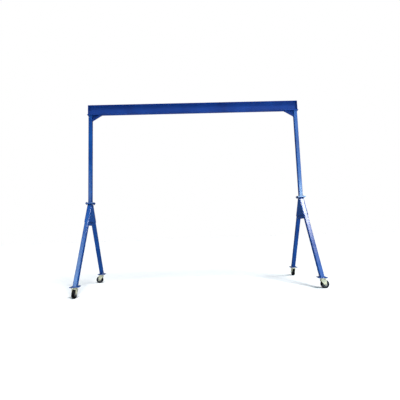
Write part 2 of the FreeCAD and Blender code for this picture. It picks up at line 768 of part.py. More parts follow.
def make_wheel_core(corner, x, y, turn):
    """Cast centre: hub, web and rim in one."""
    body = new_body("wheel_core_" + corner)
    bore = "(Sizes.axle_diameter / 2 + Sizes.running_clearance)"
    hub = "(Sizes.hub_diameter / 2)"
    rim = "(%s - Sizes.rim_thickness)" % CORE_RADIUS
    web = "(Sizes.wheel_web_thickness / 2)"
    half = "(Sizes.wheel_width / 2)"
    upper = [
        (bore, HUB_HALF),
        (hub, HUB_HALF),
        (hub, web),
        (rim, web),
        (rim, half),
        (CORE_RADIUS, half),
    ]
    lower = [(r, "-" + z) for r, z in reversed(upper)]
    turned(body, polygon(body, "XZ_Plane", upper + lower), "_spin")
    keep(lay_wheel(body, x, y, turn), "wheel_core_" + corner)


def make_axle(corner, x, y, turn):
    """Axle bolt through both fork arms, with its nut."""
    name = "axle_" + corner
    outer = "(Sizes.fork_gap / 2 + Sizes.fork_steel)"
    head_height = "(Sizes.axle_diameter * 0.65)"
    nut_height = "(Sizes.axle_diameter * 0.85)"
    tail = "(Sizes.axle_diameter * 0.15)"
    size = "Sizes.axle_diameter"
    shank_length = "2 * %s + %s + %s" % (outer, nut_height, tail)
    shank = rod(name + "_shank", size + " / 2", shank_length, "0", "0", "-" + outer)
    head = hexagon(name + "_head", size, head_height, "0", "0", "-%s - %s" % (outer, head_height))
    bolt = fuse(name + "_bolt", [shank, head])
    blank = hexagon(name + "_nut_blank", size, nut_height, "0", "0", outer)
    thread = rod(name + "_thread", size + " / 2", nut_height, "0", "0", outer)
    nut = cut(name + "_nut", blank, thread)
    item = group(name, [bolt, nut])
    lay_wheel(item, x, y, turn)


def make_caster_bolts():
    pieces = []
    for side_name, side in SIDES:
        for end_name, end in ENDS:
            for index, (dx, dy) in enumerate(caster_bolt_centres(), start=1):
                name = "caster_bolt_%s_%s_%d" % (end_name, side_name, index)
                x = "%d * %s + %s" % (side, POST_X, dx)
                y = "%d * %s + %s" % (end, FOOT_Y, dy)
                pieces += bolt_set(name, "Sizes.caster_bolt", x, y, CASTER_PLATE_BOTTOM, FOOT_TOP)
    group("caster_plate_bolts", pieces)


make_beam()
for side_name, side in SIDES:
    make_end_plate(side_name, side)
    make_saddle(side_name, side)
    make_knee(side_name, side)
    make_post(side_name, side)
    make_joint_flanges(side_name, side)
    make_gussets(side_name, side)
    make_cross_tube(side_name, side)
    for end_name, end in ENDS:
        corner = "%s_%s" % (end_name, side_name)
        foot_x = "%d * %s" % (side, POST_X)
        foot_y = "%d * %s" % (end, FOOT_Y)
        turn = CASTER_TURN[corner]
        make_leg(end_name, end, side_name, side)
        make_foot_plate(corner, foot_x, foot_y)
        make_caster_plate(corner, foot_x, foot_y)
        make_balls(corner, foot_x, foot_y)
        make_kingpin(corner, foot_x, foot_y)
        make_fork(corner, foot_x, foot_y, turn)
        make_tyre(corner, foot_x, foot_y, turn)
        make_wheel_core(corner, foot_x, foot_y, turn)
        make_axle(corner, foot_x, foot_y, turn)
make_clamp_bolts()
make_joint_bolts()
make_caster_bolts()
doc.recompute()

for item in doc.Objects:
    if "Invalid" in item.State or "Error" in item.State:
        raise RuntimeError("%s did not recompute: %s" % (item.Name, item.State))
for item in nodes:
    if item.Shape.isNull() or not item.Shape.isValid():
        raise RuntimeError("%s has no valid shape" % item.Label)

os.makedirs("parts", exist_ok=True)
for item in nodes:
    item.Shape.exportStep("parts/%s.step" % item.Label)
    solids = item.Shape.Solids
    volume = sum(solid.Volume for solid in solids)
    print("%-26s %3d solids %10.1f cm3" % (item.Label, len(solids), volume / 1000))
print("%d nodes" % len(nodes))
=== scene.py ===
# %% [markdown]
# # A portable gantry crane
# An I-beam runway bolted on two A-frames that roll on swivel casters. The frame below brings
# the exact pieces and where they are. This file gives them their surfaces: soft edges, welds,
# hex bolts, pressed forks, moulded tyres, and a finish for every piece.

import json
import math

import bmesh
import bpy
from mathutils import Matrix, Vector


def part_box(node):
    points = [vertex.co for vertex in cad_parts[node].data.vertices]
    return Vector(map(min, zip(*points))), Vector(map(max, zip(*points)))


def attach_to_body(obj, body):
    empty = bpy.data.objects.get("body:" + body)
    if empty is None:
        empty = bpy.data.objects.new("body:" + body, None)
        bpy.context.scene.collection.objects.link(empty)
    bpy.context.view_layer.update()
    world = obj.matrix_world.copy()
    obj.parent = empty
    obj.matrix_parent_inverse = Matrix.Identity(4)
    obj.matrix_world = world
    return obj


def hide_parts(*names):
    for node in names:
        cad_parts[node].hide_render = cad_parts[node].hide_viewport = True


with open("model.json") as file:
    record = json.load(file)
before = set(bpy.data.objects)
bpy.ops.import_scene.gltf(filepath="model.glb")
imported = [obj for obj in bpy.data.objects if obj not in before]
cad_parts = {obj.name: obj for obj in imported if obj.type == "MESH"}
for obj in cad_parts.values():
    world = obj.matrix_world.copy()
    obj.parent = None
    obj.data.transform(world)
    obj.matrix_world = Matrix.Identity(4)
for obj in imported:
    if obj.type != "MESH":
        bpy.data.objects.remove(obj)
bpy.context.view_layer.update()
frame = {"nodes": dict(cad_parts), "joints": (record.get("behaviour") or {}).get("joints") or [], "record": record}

MM = 0.001
record = frame["record"]
BODY_OF = {n: body for body, names in record["behaviour"]["bodies"].items() for n in names}
SLOT_OF = {part["node"]: part["material_slot"] for part in record["subparts"]}
JOINT = {joint["name"]: joint for joint in frame["joints"]}
CORNERS = ["front_left", "rear_left", "front_right", "rear_right"]
SIDES = ["left", "right"]

# %% [markdown]
# ## Camera
# The crane is 4.7 m long, so it is seen from about 6 m away at chest height, with a short
# lens that looks slightly up at the beam. The camera could be turned by three Euler angles.
# A matrix made from its own right, up and backward directions is easier to check.

# %% Camera
EYE = Vector((-0.0975, -6.4137, 1.1188))
YAW = 0.0267                    # radians towards +X
PITCH = 0.1016                  # radians up
ROLL = -0.0342
LENS = 27.23                    # mm on a 36 mm sensor


def camera_turn(yaw, pitch, roll):
    """Columns are the camera's right, up and backward directions."""
    ahead = Vector((math.sin(yaw) * math.cos(pitch), math.cos(yaw) * math.cos(pitch), math.sin(pitch)))
    right = Vector((math.cos(yaw), -math.sin(yaw), 0.0))
    up = right.cross(ahead)
    level_right = right * math.cos(roll) + up * math.sin(roll)
    level_up = up * math.cos(roll) - right * math.sin(roll)
    return Matrix((level_right, level_up, -ahead)).transposed()


camera = bpy.data.objects.new("camera", bpy.data.cameras.new("camera"))
camera.data.lens = LENS
camera.data.sensor_width = 36.0
camera.matrix_world = Matrix.Translation(EYE) @ camera_turn(YAW, PITCH, ROLL).to_4x4()
bpy.context.scene.collection.objects.link(camera)
bpy.context.scene.camera = camera
bpy.context.scene.view_settings.view_transform = "Standard"
print("camera height:", round(EYE.z, 2), "distance in front:", round(-EYE.y, 2))

# %% [markdown]
# ## Helpers for finishes
# Every finish below is a small node tree: one Principled shader, noise in object space for its
# patterns, and a bump for its relief. Colours are written as hex values, as a paint card has
# them, and pattern sizes in millimetres, so that a number can be checked against the real thing.

# %% Colour and size


def srgb(code):
    """An sRGB hex colour as linear red, green, blue and alpha."""
    channels = [int(code[i:i + 2], 16) / 255 for i in (1, 3, 5)]
    linear = [c / 12.92 if c <= 0.04045 else ((c + 0.055) / 1.055) ** 2.4 for c in channels]
    return (*linear, 1.0)


def per(size_mm):
    """The texture scale whose features are about this size."""
    return 1000.0 / size_mm


print("a mid grey in linear light:", round(srgb("#808080")[0], 3), "scale of a 5 mm pattern:", per(5))

# %% [markdown]
# A node is made, set and linked by one helper, so that a finish reads as a list of what it does.

# %% Adding nodes


def add(tree, kind, inputs=None, **settings):
    """Add a node. An input that is a socket is linked, and any other is set."""
    made = tree.nodes.new(kind)
    for key, setting in settings.items():
        setattr(made, key, setting)
    for key, content in (inputs or {}).items():
        if isinstance(content, bpy.types.NodeSocket):
            tree.links.new(content, made.inputs[key])
        else:
            made.inputs[key].default_value = content
    return made


def blend_colours(tree, share, low, high):
    """A colour between two others, by a share from 0 to 1."""
    mix = add(tree, "ShaderNodeMix", {0: share}, data_type="RGBA")
    for index, content in ((6, low), (7, high)):
        if isinstance(content, bpy.types.NodeSocket):
            tree.links.new(content, mix.inputs[index])
        else:
            mix.inputs[index].default_value = content
    return mix.outputs[2]


def band(tree, content, low, high, to_low=0.0, to_high=1.0):
    """Stretch a value from one range to another, held inside it."""
    inputs = {0: content, 1: low, 2: high, 3: to_low, 4: to_high}
    return add(tree, "ShaderNodeMapRange", inputs).outputs[0]


def noise(tree, where, size_mm, detail=3.0, roughness=0.5):
    inputs = {"Vector": where, "Scale": per(size_mm), "Detail": detail, "Roughness": roughness}
    return add(tree, "ShaderNodeTexNoise", inputs).outputs[0]


def bump(tree, height, depth_mm, strength=1.0, onto=None):
    """Turn a height from 0 to 1 into a surface normal."""
    inputs = {"Height": height, "Distance": depth_mm * MM, "Strength": strength}
    if onto is not None:
        inputs["Normal"] = onto
    return add(tree, "ShaderNodeBump", inputs).outputs[0]


def new_finish(name, **shader):
    """A material with one Principled shader, and the place that its patterns read."""
    material = bpy.data.materials.new(name)
    material.use_nodes = True
    tree = material.node_tree
    tree.nodes.clear()
    settings = {key.replace("_", " "): value for key, value in shader.items()}
    surface = add(tree, "ShaderNodeBsdfPrincipled", settings)
    add(tree, "ShaderNodeOutputMaterial", {"Surface": surface.outputs[0]})
    where = add(tree, "ShaderNodeTexCoord").outputs["Object"]
    return material, tree, surface, where


def join(tree, socket, surface, name):
    tree.links.new(socket, surface.inputs[name])


# %% [markdown]
# ## Lamps
# Two distant round lamps light the crane, and their mirror images are the highlights on the
# sloping legs: the wider a lamp's angle, the larger and softer its highlight. Three panels stand
# where the upright posts mirror them. The panels hide from the camera, so that no view shows
# a bright rectangle. Spot lamps would do too, but they leave hard small highlights.

# %% Lamps
WHITE = (1.0, 1.0, 1.0)
COOL = (0.62, 0.88, 1.0)        # the tint of daylight from a blue sky


def add_lamp(name, kind, colour, energy):
    lamp = bpy.data.lights.new(name, kind)
    lamp.color = colour
    lamp.energy = energy
    item = bpy.data.objects.new(name, lamp)
    bpy.context.scene.collection.objects.link(item)
    return item


def sun_light(name, colour, azimuth, height, angle, strength):
    """A distant round lamp. Azimuth is in degrees from straight in front, to the right."""
    item = add_lamp(name, "SUN", colour, strength)
    item.data.angle = math.radians(angle)
    side, up = math.radians(azimuth), math.radians(height)
    toward = Vector((math.sin(side) * math.cos(up), -math.cos(side) * math.cos(up), math.sin(up)))
    item.rotation_euler = (-toward).to_track_quat("-Z", "Y").to_euler()


def panel_light(name, place, target, size, power):
    """A studio panel that lights and is mirrored, but isn't seen itself."""
    item = add_lamp(name, "AREA", COOL, power)
    item.data.shape = "RECTANGLE"
    item.data.size, item.data.size_y = size
    item.location = place
    item.rotation_euler = (Vector(target) - Vector(place)).to_track_quat("-Z", "Y").to_euler()
    item.visible_camera = False


sun_light("lamp_key", WHITE, 34, 60, 20, 3.3)
sun_light("lamp_left", COOL, -29, 41, 17, 0.5)
panel_light("panel_post_right", (4.07, -5.0, 3.4), (2.2, 0.0, 2.6), (0.9, 4.2), 48.0)
panel_light("panel_post_low", (4.07, -5.0, 2.0), (2.2, 0.0, 1.9), (0.9, 1.4), 80.0)
panel_light("panel_post_left", (-4.2, -5.6, 2.35), (-2.2, 0.0, 2.0), (1.0, 2.2), 20.0)
print("lamps:", sorted(lamp.name for lamp in bpy.data.lights))

# %% [markdown]
# ## Sky
# One flat bright sky would turn gloss paint grey, because the paint mirrors it at every angle. So
# the sky has three strengths: white to the camera, a soft fill for what isn't mirrored, and a
# dim room for mirror images.

# %% Sky
world = bpy.data.worlds.new("studio")
world.use_nodes = True
sky = world.node_tree
sky.nodes.clear()


def sky_of(colour, strength):
    return add(sky, "ShaderNodeBackground", {"Color": srgb(colour), "Strength": strength}).outputs[0]


ray = add(sky, "ShaderNodeLightPath").outputs
fill = sky_of("#E6EAF0", 0.3)
mirrored = sky_of("#E6EAF0", 0.1)
room = add(sky, "ShaderNodeMixShader", {0: ray["Is Glossy Ray"], 1: fill, 2: mirrored}).outputs[0]
seen = sky_of("#FFFFFF", 1.0)
mixed = add(sky, "ShaderNodeMixShader", {0: ray["Is Camera Ray"], 1: room, 2: seen}).outputs[0]
add(sky, "ShaderNodeOutputWorld", {"Surface": mixed})
bpy.context.scene.world = world
print("sky nodes:", len(sky.nodes))

# %% [markdown]
# ## Floor
# The floor is pale matt vinyl, wide enough to reach the horizon. It takes the soft shadows of
# the feet. It is left out of mirror images, because white mirrored in dark paint veils its blue.

# %% Floor
FLOOR_REACH = 40.0


def pale_floor():
    """Matt vinyl: nearly white, with a faint mottle so that it isn't a blank."""
    material, tree, surface, where = new_finish("matt_vinyl_floor", Roughness=0.75, IOR=1.5)
    mottle = noise(tree, where, 60, 4.0)
    colour = blend_colours(tree, band(tree, mottle, 0.3, 0.7), srgb("#F5F6F7"), srgb("#F8F9FA"))
    join(tree, colour, surface, "Base Color")
    return material


floor_mesh = bpy.data.meshes.new("floor")
corners = [(x * FLOOR_REACH, y * FLOOR_REACH, 0) for x, y in ((-1, -1), (1, -1), (1, 1), (-1, 1))]
floor_mesh.from_pydata(corners, [], [(0, 1, 2, 3)])
floor_mesh.materials.append(pale_floor())
floor = bpy.data.objects.new("floor", floor_mesh)
floor.visible_glossy = False
bpy.context.scene.collection.objects.link(floor)
print("floor:", 2 * FLOOR_REACH, "m square")

# %% [markdown]
# ## Machine enamel
# The frame is painted with blue alkyd machine enamel, sprayed over mill scale. It is glossy
# enough to mirror the room in soft bands, with a fine orange peel, slow waves from the rolled
# steel under it, a little dust on what faces up, and bare scuffs on sharp edges. The edges
# are marked on the mesh by a face attribute, so that the wear follows the real bevels. The
# posts and A-frames are sprayed gloss. The beam and its knee braces are brushed, which is satin.

# %% Enamel
DUST = "#5F6C88"
DEEP_SPOT = "#06205A"
BARE_EDGE = "#4A5060"


def machine_enamel(name, deep, light, gloss_low, gloss_high, specular):
    """Blue enamel between two tones; the gloss values are the least and most roughness."""
    material, tree, surface, where = new_finish(name, IOR=1.5, Specular_IOR_Level=specular)
    broad = noise(tree, where, 420, 4.0)
    fine = noise(tree, where, 26, 5.0)
    tone = blend_colours(tree, band(tree, broad, 0.3, 0.7), srgb(deep), srgb(light))
    tone = blend_colours(tree, band(tree, fine, 0.62, 0.8, 0.0, 0.35), tone, srgb(DEEP_SPOT))
    # Dust lies only on faces that look up.
    normal = add(tree, "ShaderNodeNewGeometry").outputs["Normal"]
    up = band(tree, add(tree, "ShaderNodeSeparateXYZ", {0: normal}).outputs[2], 0.55, 1.0)
    film = band(tree, fine, 0.35, 0.75, 0.05, 0.4)
    dusty = add(tree, "ShaderNodeMath", {0: up, 1: film}, operation="MULTIPLY").outputs[0]
    tone = blend_colours(tree, dusty, tone, srgb(DUST))
    # Chips through the paint, broken up by a patchy noise.
    edge = add(tree, "ShaderNodeAttribute", attribute_name="edge").outputs["Fac"]
    patch = band(tree, noise(tree, where, 34, 6.0, 0.7), 0.57, 0.62)
    chip = add(tree, "ShaderNodeMath", {0: edge, 1: patch}, operation="MULTIPLY").outputs[0]
    tone = blend_colours(tree, chip, tone, srgb(BARE_EDGE))
    join(tree, tone, surface, "Base Color")
    gloss = band(tree, noise(tree, where, 150, 3.0), 0.3, 0.7, gloss_low, gloss_high)
    rough = add(tree, "ShaderNodeMath", {0: gloss, 1: dusty}, operation="ADD").outputs[0]
    join(tree, rough, surface, "Roughness")
    waves = bump(tree, noise(tree, where, 110, 2.0), 0.5, 0.35)
    peel = bump(tree, noise(tree, where, 3.5, 2.0), 0.04, 0.25, waves)
    join(tree, bump(tree, chip, -0.12, 0.6, peel), surface, "Normal")
    return material


GLOSS_BLUE = machine_enamel("gloss_blue_enamel", "#09377C", "#0F4B94", 0.16, 0.25, 0.5)
SATIN_BLUE = machine_enamel("satin_blue_enamel", "#0B2E76", "#103D8B", 0.38, 0.5, 0.2)
print("enamel nodes:", len(GLOSS_BLUE.node_tree.nodes))

# %% [markdown]
# ## Zinc and bearing steel
# The caster forks are pressed from steel sheet and dipped in yellow zinc chromate, which leaves
# a pale straw film that shifts between straw and grey and hides most of the metal's mirror. The
# bolts have clear zinc, which is cooler and brighter. The swivel's balls are ground and greased.

# %% Zinc and bearing steel


def chromate_zinc():
    """Yellow zinc chromate on pressed steel: the film clouds in patches of a few centimetres."""
    material, tree, surface, where = new_finish("yellow_zinc_chromate", Metallic=0.25, Roughness=0.4)
    cloud = noise(tree, where, 38, 4.0, 0.6)
    tone = blend_colours(tree, band(tree, cloud, 0.35, 0.65), srgb("#E8E2BE"), srgb("#DAD9C4"))
    stain = noise(tree, where, 9, 5.0, 0.7)
    tone = blend_colours(tree, band(tree, stain, 0.62, 0.78, 0.0, 0.6), tone, srgb("#9A8F66"))
    join(tree, tone, surface, "Base Color")
    join(tree, band(tree, stain, 0.3, 0.7, 0.34, 0.5), surface, "Roughness")
    grain = bump(tree, noise(tree, where, 1.2, 2.0), 0.03, 0.4)
    join(tree, grain, surface, "Normal")
    return material


def clear_zinc():
    """Clear zinc on bolts: a bright, slightly mottled grey."""
    material, tree, surface, where = new_finish("clear_zinc_plate", Metallic=1.0, Roughness=0.32)
    spangle = noise(tree, where, 5, 4.0, 0.6)
    tone = blend_colours(tree, band(tree, spangle, 0.3, 0.7), srgb("#A9ADB3"), srgb("#CDD0D4"))
    join(tree, tone, surface, "Base Color")
    join(tree, band(tree, spangle, 0.3, 0.7, 0.25, 0.42), surface, "Roughness")
    return material


def bearing_steel():
    """Hardened balls: bright and nearly a mirror, with a film of grease."""
    material, tree, surface, where = new_finish("ground_bearing_steel", Metallic=1.0, Roughness=0.12)
    grease = noise(tree, where, 6, 3.0)
    tone = blend_colours(tree, band(tree, grease, 0.4, 0.7), srgb("#D4D6D8"), srgb("#A89F84"))
    join(tree, tone, surface, "Base Color")
    join(tree, band(tree, grease, 0.4, 0.7, 0.1, 0.3), surface, "Roughness")
    return material


ZINC_CHROMATE = chromate_zinc()
CLEAR_ZINC = clear_zinc()
BALL_STEEL = bearing_steel()
print("metals:", ZINC_CHROMATE.name, CLEAR_ZINC.name, BALL_STEEL.name)

# %% [markdown]
# ## Rubber and cast iron
# The wheel is black rubber moulded on a sand-cast iron centre with grey stoving paint. Rubber is
# nearly matt, and floor dust greys it where it is scuffed. The casting's skin stays pebbled
# through its paint.

# %% Rubber and cast iron


def moulded_rubber():
    """Black tread rubber: nearly matt, greyed by floor dust where it is scuffed."""
    shader = {"Roughness": 0.6, "IOR": 1.5, "Specular_IOR_Level": 0.15}
    material, tree, surface, where = new_finish("moulded_black_rubber", **shader)
    scuff = noise(tree, where, 14, 6.0, 0.7)
    tone = blend_colours(tree, band(tree, scuff, 0.5, 0.75, 0.0, 0.5), srgb("#080808"), srgb("#1B1A18"))
    join(tree, tone, surface, "Base Color")
    join(tree, band(tree, scuff, 0.3, 0.7, 0.42, 0.7), surface, "Roughness")
    pores = bump(tree, noise(tree, where, 1.6, 3.0), 0.06, 0.5)
    join(tree, pores, surface, "Normal")
    return material


def painted_casting():
    """Grey stoving paint on a sand-cast iron wheel centre: satin, over a pebbled skin."""
    material, tree, surface, where = new_finish("grey_painted_cast_iron", Roughness=0.42, IOR=1.5)
    skin = noise(tree, where, 2.4, 4.0, 0.6)
    stain = noise(tree, where, 24, 3.0)
    tone = blend_colours(tree, band(tree, stain, 0.35, 0.7), srgb("#5E6169"), srgb("#4B4E55"))
    join(tree, tone, surface, "Base Color")
    join(tree, band(tree, skin, 0.3, 0.7, 0.36, 0.5), surface, "Roughness")
    join(tree, bump(tree, skin, 0.12, 0.5), surface, "Normal")
    return material


RUBBER = moulded_rubber()
CAST_IRON = painted_casting()
print("wheel finishes:", RUBBER.name, CAST_IRON.name)

# %% [markdown]
# ## Which finish goes where
# Each node's record names a material slot, and a slot has one finish. Only the painted pieces of
# the beam leave their slot's gloss for satin.

# %% Give every node its finish
FINISH = {
    "blue_paint": GLOSS_BLUE,
    "zinc_plate": ZINC_CHROMATE,
    "plated_fastener": CLEAR_ZINC,
    "bearing_steel": BALL_STEEL,
    "tyre_rubber": RUBBER,
    "wheel_casting": CAST_IRON,
}
SATIN_PARTS = ("i_beam", "knee_plate", "knee_web", "saddle_plate", "end_plate", "beam_clamp_bolts")


def finish_of(node):
    return SATIN_BLUE if node.startswith(SATIN_PARTS) else FINISH[SLOT_OF[node]]


for name, node_object in frame["nodes"].items():
    node_object.data.materials.clear()
    node_object.data.materials.append(finish_of(name))
print("satin nodes:", sum(finish_of(name) is SATIN_BLUE for name in frame["nodes"]))

# %% [markdown]
# ## Standing in for a CAD piece
# Every mesh made here becomes an object at the origin, in the frame's own coordinates. It then
# takes over from the node that it shows: its body, so that it moves with it, and its finish.

# %% Placing a mesh


def place_mesh(name, mesh, finish=None):
    item = bpy.data.objects.new(name, mesh)
    bpy.context.scene.collection.objects.link(item)
    if finish is not None:
        mesh.materials.clear()
        mesh.materials.append(finish)
    return item


def attach(piece, *nodes):
    """Let a piece stand for CAD nodes and move with their body."""
    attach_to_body(piece, BODY_OF[nodes[0]])
    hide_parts(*nodes)


# %% [markdown]
# ## Rolled and cut steel
# Real plate and tube have no knife edges: sawn and sheared edges are broken by a file, and
# rolled ones are round. Each painted node is copied, its loose triangles are merged, and its
# sharp edges are bevelled. The new strips get the edge attribute that the enamel reads. A
# bevel of about a millimetre is what makes a steel edge catch the light. A Bevel modifier would
# do the same, but it couldn't mark its strips.

# %% Softened copies of the painted nodes
MERGE = 0.002 * MM              # corners of loose triangles nearer than this are one corner
PLATE_EDGE = 1.2 * MM
TUBE_EDGE = 0.6 * MM
BEAM_EDGE = 2.5 * MM
SHARP = math.radians(40)
CURVED = math.radians(1.5)
STRIP = 5.0 * MM                # a face narrower than this belongs to a rounded corner


def merged(node):
    """A node's mesh with its loose triangles joined up."""
    bm = bmesh.new()
    bm.from_mesh(frame["nodes"][node].data)
    bmesh.ops.remove_doubles(bm, verts=bm.verts, dist=MERGE)
    return bm


def flatten(bm):
    """Join triangles that lie in one plane."""
    bmesh.ops.dissolve_limit(bm, angle_limit=math.radians(0.5), verts=bm.verts, edges=bm.edges)


def sharp_edges(bm):
    return [e for e in bm.edges if len(e.link_faces) == 2 and e.calc_face_angle(0.0) > SHARP]


def soften(node, width):
    """A copy of a CAD node with its sharp edges rounded over."""
    bm = merged(node)
    flatten(bm)
    for face in bm.faces:
        turns = [e.calc_face_angle(0.0) for e in face.edges if len(e.link_faces) == 2]
        across = face.calc_area() / max(e.calc_length() for e in face.edges)
        face.smooth = across < STRIP and any(CURVED < turn < SHARP for turn in turns)
    rule = {"segments": 2, "profile": 0.5, "affect": "EDGES", "clamp_overlap": True}
    strips = bmesh.ops.bevel(bm, geom=sharp_edges(bm), offset=width, **rule)["faces"]
    mark = bm.faces.layers.float.new("edge")
    for face in strips:
        if face.is_valid:
            face.smooth = True
            face[mark] = 1.0
    mesh = bpy.data.meshes.new(node + "_painted")
    bm.to_mesh(mesh)
    bm.free()
    attach(place_mesh(mesh.name, mesh, finish_of(node)), node)


TUBES = ("leg_front", "leg_rear", "upper_post", "cross_tube")
PAINTED = [n for n in frame["nodes"] if SLOT_OF[n] == "blue_paint" and not n.endswith("bolts")]
for name in PAINTED:
    if name == "i_beam":
        soften(name, BEAM_EDGE)
    elif name.startswith(TUBES):
        soften(name, TUBE_EDGE)
    else:
        soften(name, PLATE_EDGE)
print("softened:", len(PAINTED))

# %% [markdown]
# ## Geometry Nodes from a script
# What repeats, such as a weld's ripples or a set of bolts, is set out by a Geometry Nodes tree.
# A tree gets named inputs, ends by making its instances real, and is then run once and kept
# as a plain mesh.

# %% Making, ending and running a tree


def new_tree(name, inputs):
    """An empty Geometry Nodes tree with named inputs; gives their identifiers too."""
    tree = bpy.data.node_groups.new(name, "GeometryNodeTree")
    tree.interface.new_socket(name="Geometry", in_out="INPUT", socket_type="NodeSocketGeometry")
    keys = {}
    for label, kind in inputs:
        made = tree.interface.new_socket(name=label, in_out="INPUT", socket_type="NodeSocket" + kind)
        keys[label] = made.identifier
    tree.interface.new_socket(name="Geometry", in_out="OUTPUT", socket_type="NodeSocketGeometry")
    return tree, add(tree, "NodeGroupInput"), keys


def end_tree(tree, geometry, finish, smooth=False):
    """Make the instances real and give them their finish."""
    last = add(tree, "GeometryNodeRealizeInstances", {0: geometry}).outputs[0]
    if smooth:
        last = add(tree, "GeometryNodeSetShadeSmooth", {0: last}).outputs[0]
    painted = add(tree, "GeometryNodeSetMaterial", {"Geometry": last, "Material": finish})
    add(tree, "NodeGroupOutput", {0: painted.outputs[0]})


def bake(name, item, tree, keys, choices):
    """Run a tree on an object and keep only the plain mesh that it makes."""
    modifier = item.modifiers.new("tree", "NODES")
    modifier.node_group = tree
    for label, choice in choices.items():
        modifier[keys[label]] = choice
    bpy.context.view_layer.update()
    made = item.evaluated_get(bpy.context.evaluated_depsgraph_get())
    mesh = bpy.data.meshes.new_from_object(made)
    mesh.name = name
    item.modifiers.clear()
    bpy.data.objects.remove(item)
    for face in mesh.polygons:
        face.material_index = 0
    return place_mesh(name, mesh, choices["Finish"])


# %% [markdown]
# ## Weld beads
# Every joint of tube to plate is a fillet weld: a bead about 8 mm wide whose ripples follow
# each other every few millimetres. A swept round bar would look like a wire laid on the steel.
# So a ripple is a flattened ball, and the tree sets one after another along each seam.

# %% Bead tree
BEAD_WIDTH = 8.0 * MM
RIPPLE_PITCH = 4.5 * MM
RIPPLE_LAP = 1.9                # length of a ripple as a share of the pitch
BEAD_SEED = 11


def bead_tree():
    inputs = [("Bead Width", "Float"), ("Ripple Pitch", "Float"), ("Seed", "Int"),
              ("Finish", "Material")]
    tree, given, keys = new_tree("weld_bead", inputs)
    bead_width, pitch, seed, finish = given.outputs[1:5]
    path = add(tree, "GeometryNodeMeshToCurve", {0: given.outputs[0]})
    steps = add(tree, "GeometryNodeCurveToPoints", {0: path.outputs[0], "Length": pitch}, mode="LENGTH")
    ripple = add(tree, "GeometryNodeMeshUVSphere", {"Segments": 8, "Rings": 6, "Radius": 0.5})
    tangent = steps.outputs["Tangent"]
    along = add(tree, "FunctionNodeAlignRotationToVector", {"Vector": tangent}, axis="Z")
    span = {2: 0.88, 3: 1.08, "Seed": seed}
    spread = add(tree, "FunctionNodeRandomValue", span, data_type="FLOAT").outputs[1]
    width = add(tree, "ShaderNodeMath", {0: bead_width, 1: spread}, operation="MULTIPLY").outputs[0]
    length = add(tree, "ShaderNodeMath", {0: pitch, 1: RIPPLE_LAP}, operation="MULTIPLY").outputs[0]
    scale = add(tree, "ShaderNodeCombineXYZ", {0: width, 1: width, 2: length})
    beads = add(tree, "GeometryNodeInstanceOnPoints", {
        "Points": steps.outputs["Points"],
        "Instance": ripple.outputs[0],
        "Rotation": along.outputs[0],
        "Scale": scale.outputs[0],
    })
    end_tree(tree, beads.outputs[0], finish, smooth=True)
    return tree, keys


BEADS, BEAD_KEYS = bead_tree()
print("bead tree inputs:", sorted(BEAD_KEYS))

# %% [markdown]
# ## Where the welds run
# A seam is a plain line of points, read from the boxes of the pieces that it joins, so it moves
# if they do. Each end frame has rings where tubes stand on plates, a bead down each gusset's
# sloping and lower edges, a ring at each end of the cross tube, and the knee brace's edges.

# %% Seams of the tubes


def loop(points):
    """A closed seam through these points."""
    return [Vector(p) for p in points] + [Vector(points[0])]


def square_seam(x, y, half_x, half_y, z):
    """A seam round a square tube that stands on a plate."""
    return loop([
        (x - half_x, y - half_y, z), (x + half_x, y - half_y, z),
        (x + half_x, y + half_y, z), (x - half_x, y + half_y, z),
    ])


def a_frame(side):
    """Sizes that an end frame's seams share, and how far out its legs' two faces are at a height."""
    low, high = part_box("upper_post_" + side)
    foot_low, foot_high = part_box("foot_plate_front_" + side)
    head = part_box("gusset_inner_" + side)[1].z
    foot_y = -(foot_low.y + foot_high.y) / 2
    half_cut = -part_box("leg_front_" + side)[0].y - foot_y
    lean = foot_y / (head - foot_high.z)

    def faces_at(z):
        middle = lean * (head - z)
        return middle + half_cut, middle - half_cut

    sizes = {"x": (low.x + high.x) / 2, "half": (high.x - low.x) / 2, "head": head, "foot_y": foot_y,
             "foot": foot_high.z, "half_cut": half_cut, "post": (low.z, high.z)}
    return sizes, faces_at


def tube_seams(sizes):
    """Rings where the post and the legs stand on their plates."""
    x, half, half_cut = sizes["x"], sizes["half"], sizes["half_cut"]
    seams = [square_seam(x, 0, half, half, z) for z in sizes["post"]]
    seams.append(square_seam(x, 0, half, half_cut, sizes["head"]))
    for end in (-1, 1):
        seams.append(square_seam(x, end * sizes["foot_y"], half, half_cut, sizes["foot"]))
    return seams


print("post at", round(a_frame("left")[0]["x"], 3), "and", round(a_frame("right")[0]["x"], 3))

# %% Seams of the gussets, the cross tube and the knee brace
SINK = 1.5 * MM                 # how far a bead's middle lies inside an edge


def gusset_seams(side, sizes, faces_at):
    head = sizes["head"]
    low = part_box("gusset_inner_" + side)[0].z
    seams = []
    for face in (-1, 1):
        x = sizes["x"] + face * sizes["half"]
        for end in (-1, 1):
            seams.append([
                Vector((x, end * (faces_at(head)[0] - SINK), head)),
                Vector((x, end * (faces_at(low)[0] - SINK), low)),
                Vector((x, end * faces_at(low)[1], low)),
            ])
    return seams


def cross_tube_seams(side, sizes, faces_at):
    low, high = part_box("cross_tube_" + side)
    left, right = sizes["x"] - (high.x - low.x) / 2, sizes["x"] + (high.x - low.x) / 2
    seams = []
    for end in (-1, 1):
        near_low, near_high = end * faces_at(low.z)[1], end * faces_at(high.z)[1]
        seams.append(loop([(left, near_low, low.z), (right, near_low, low.z),
                           (right, near_high, high.z), (left, near_high, high.z)]))
    return seams


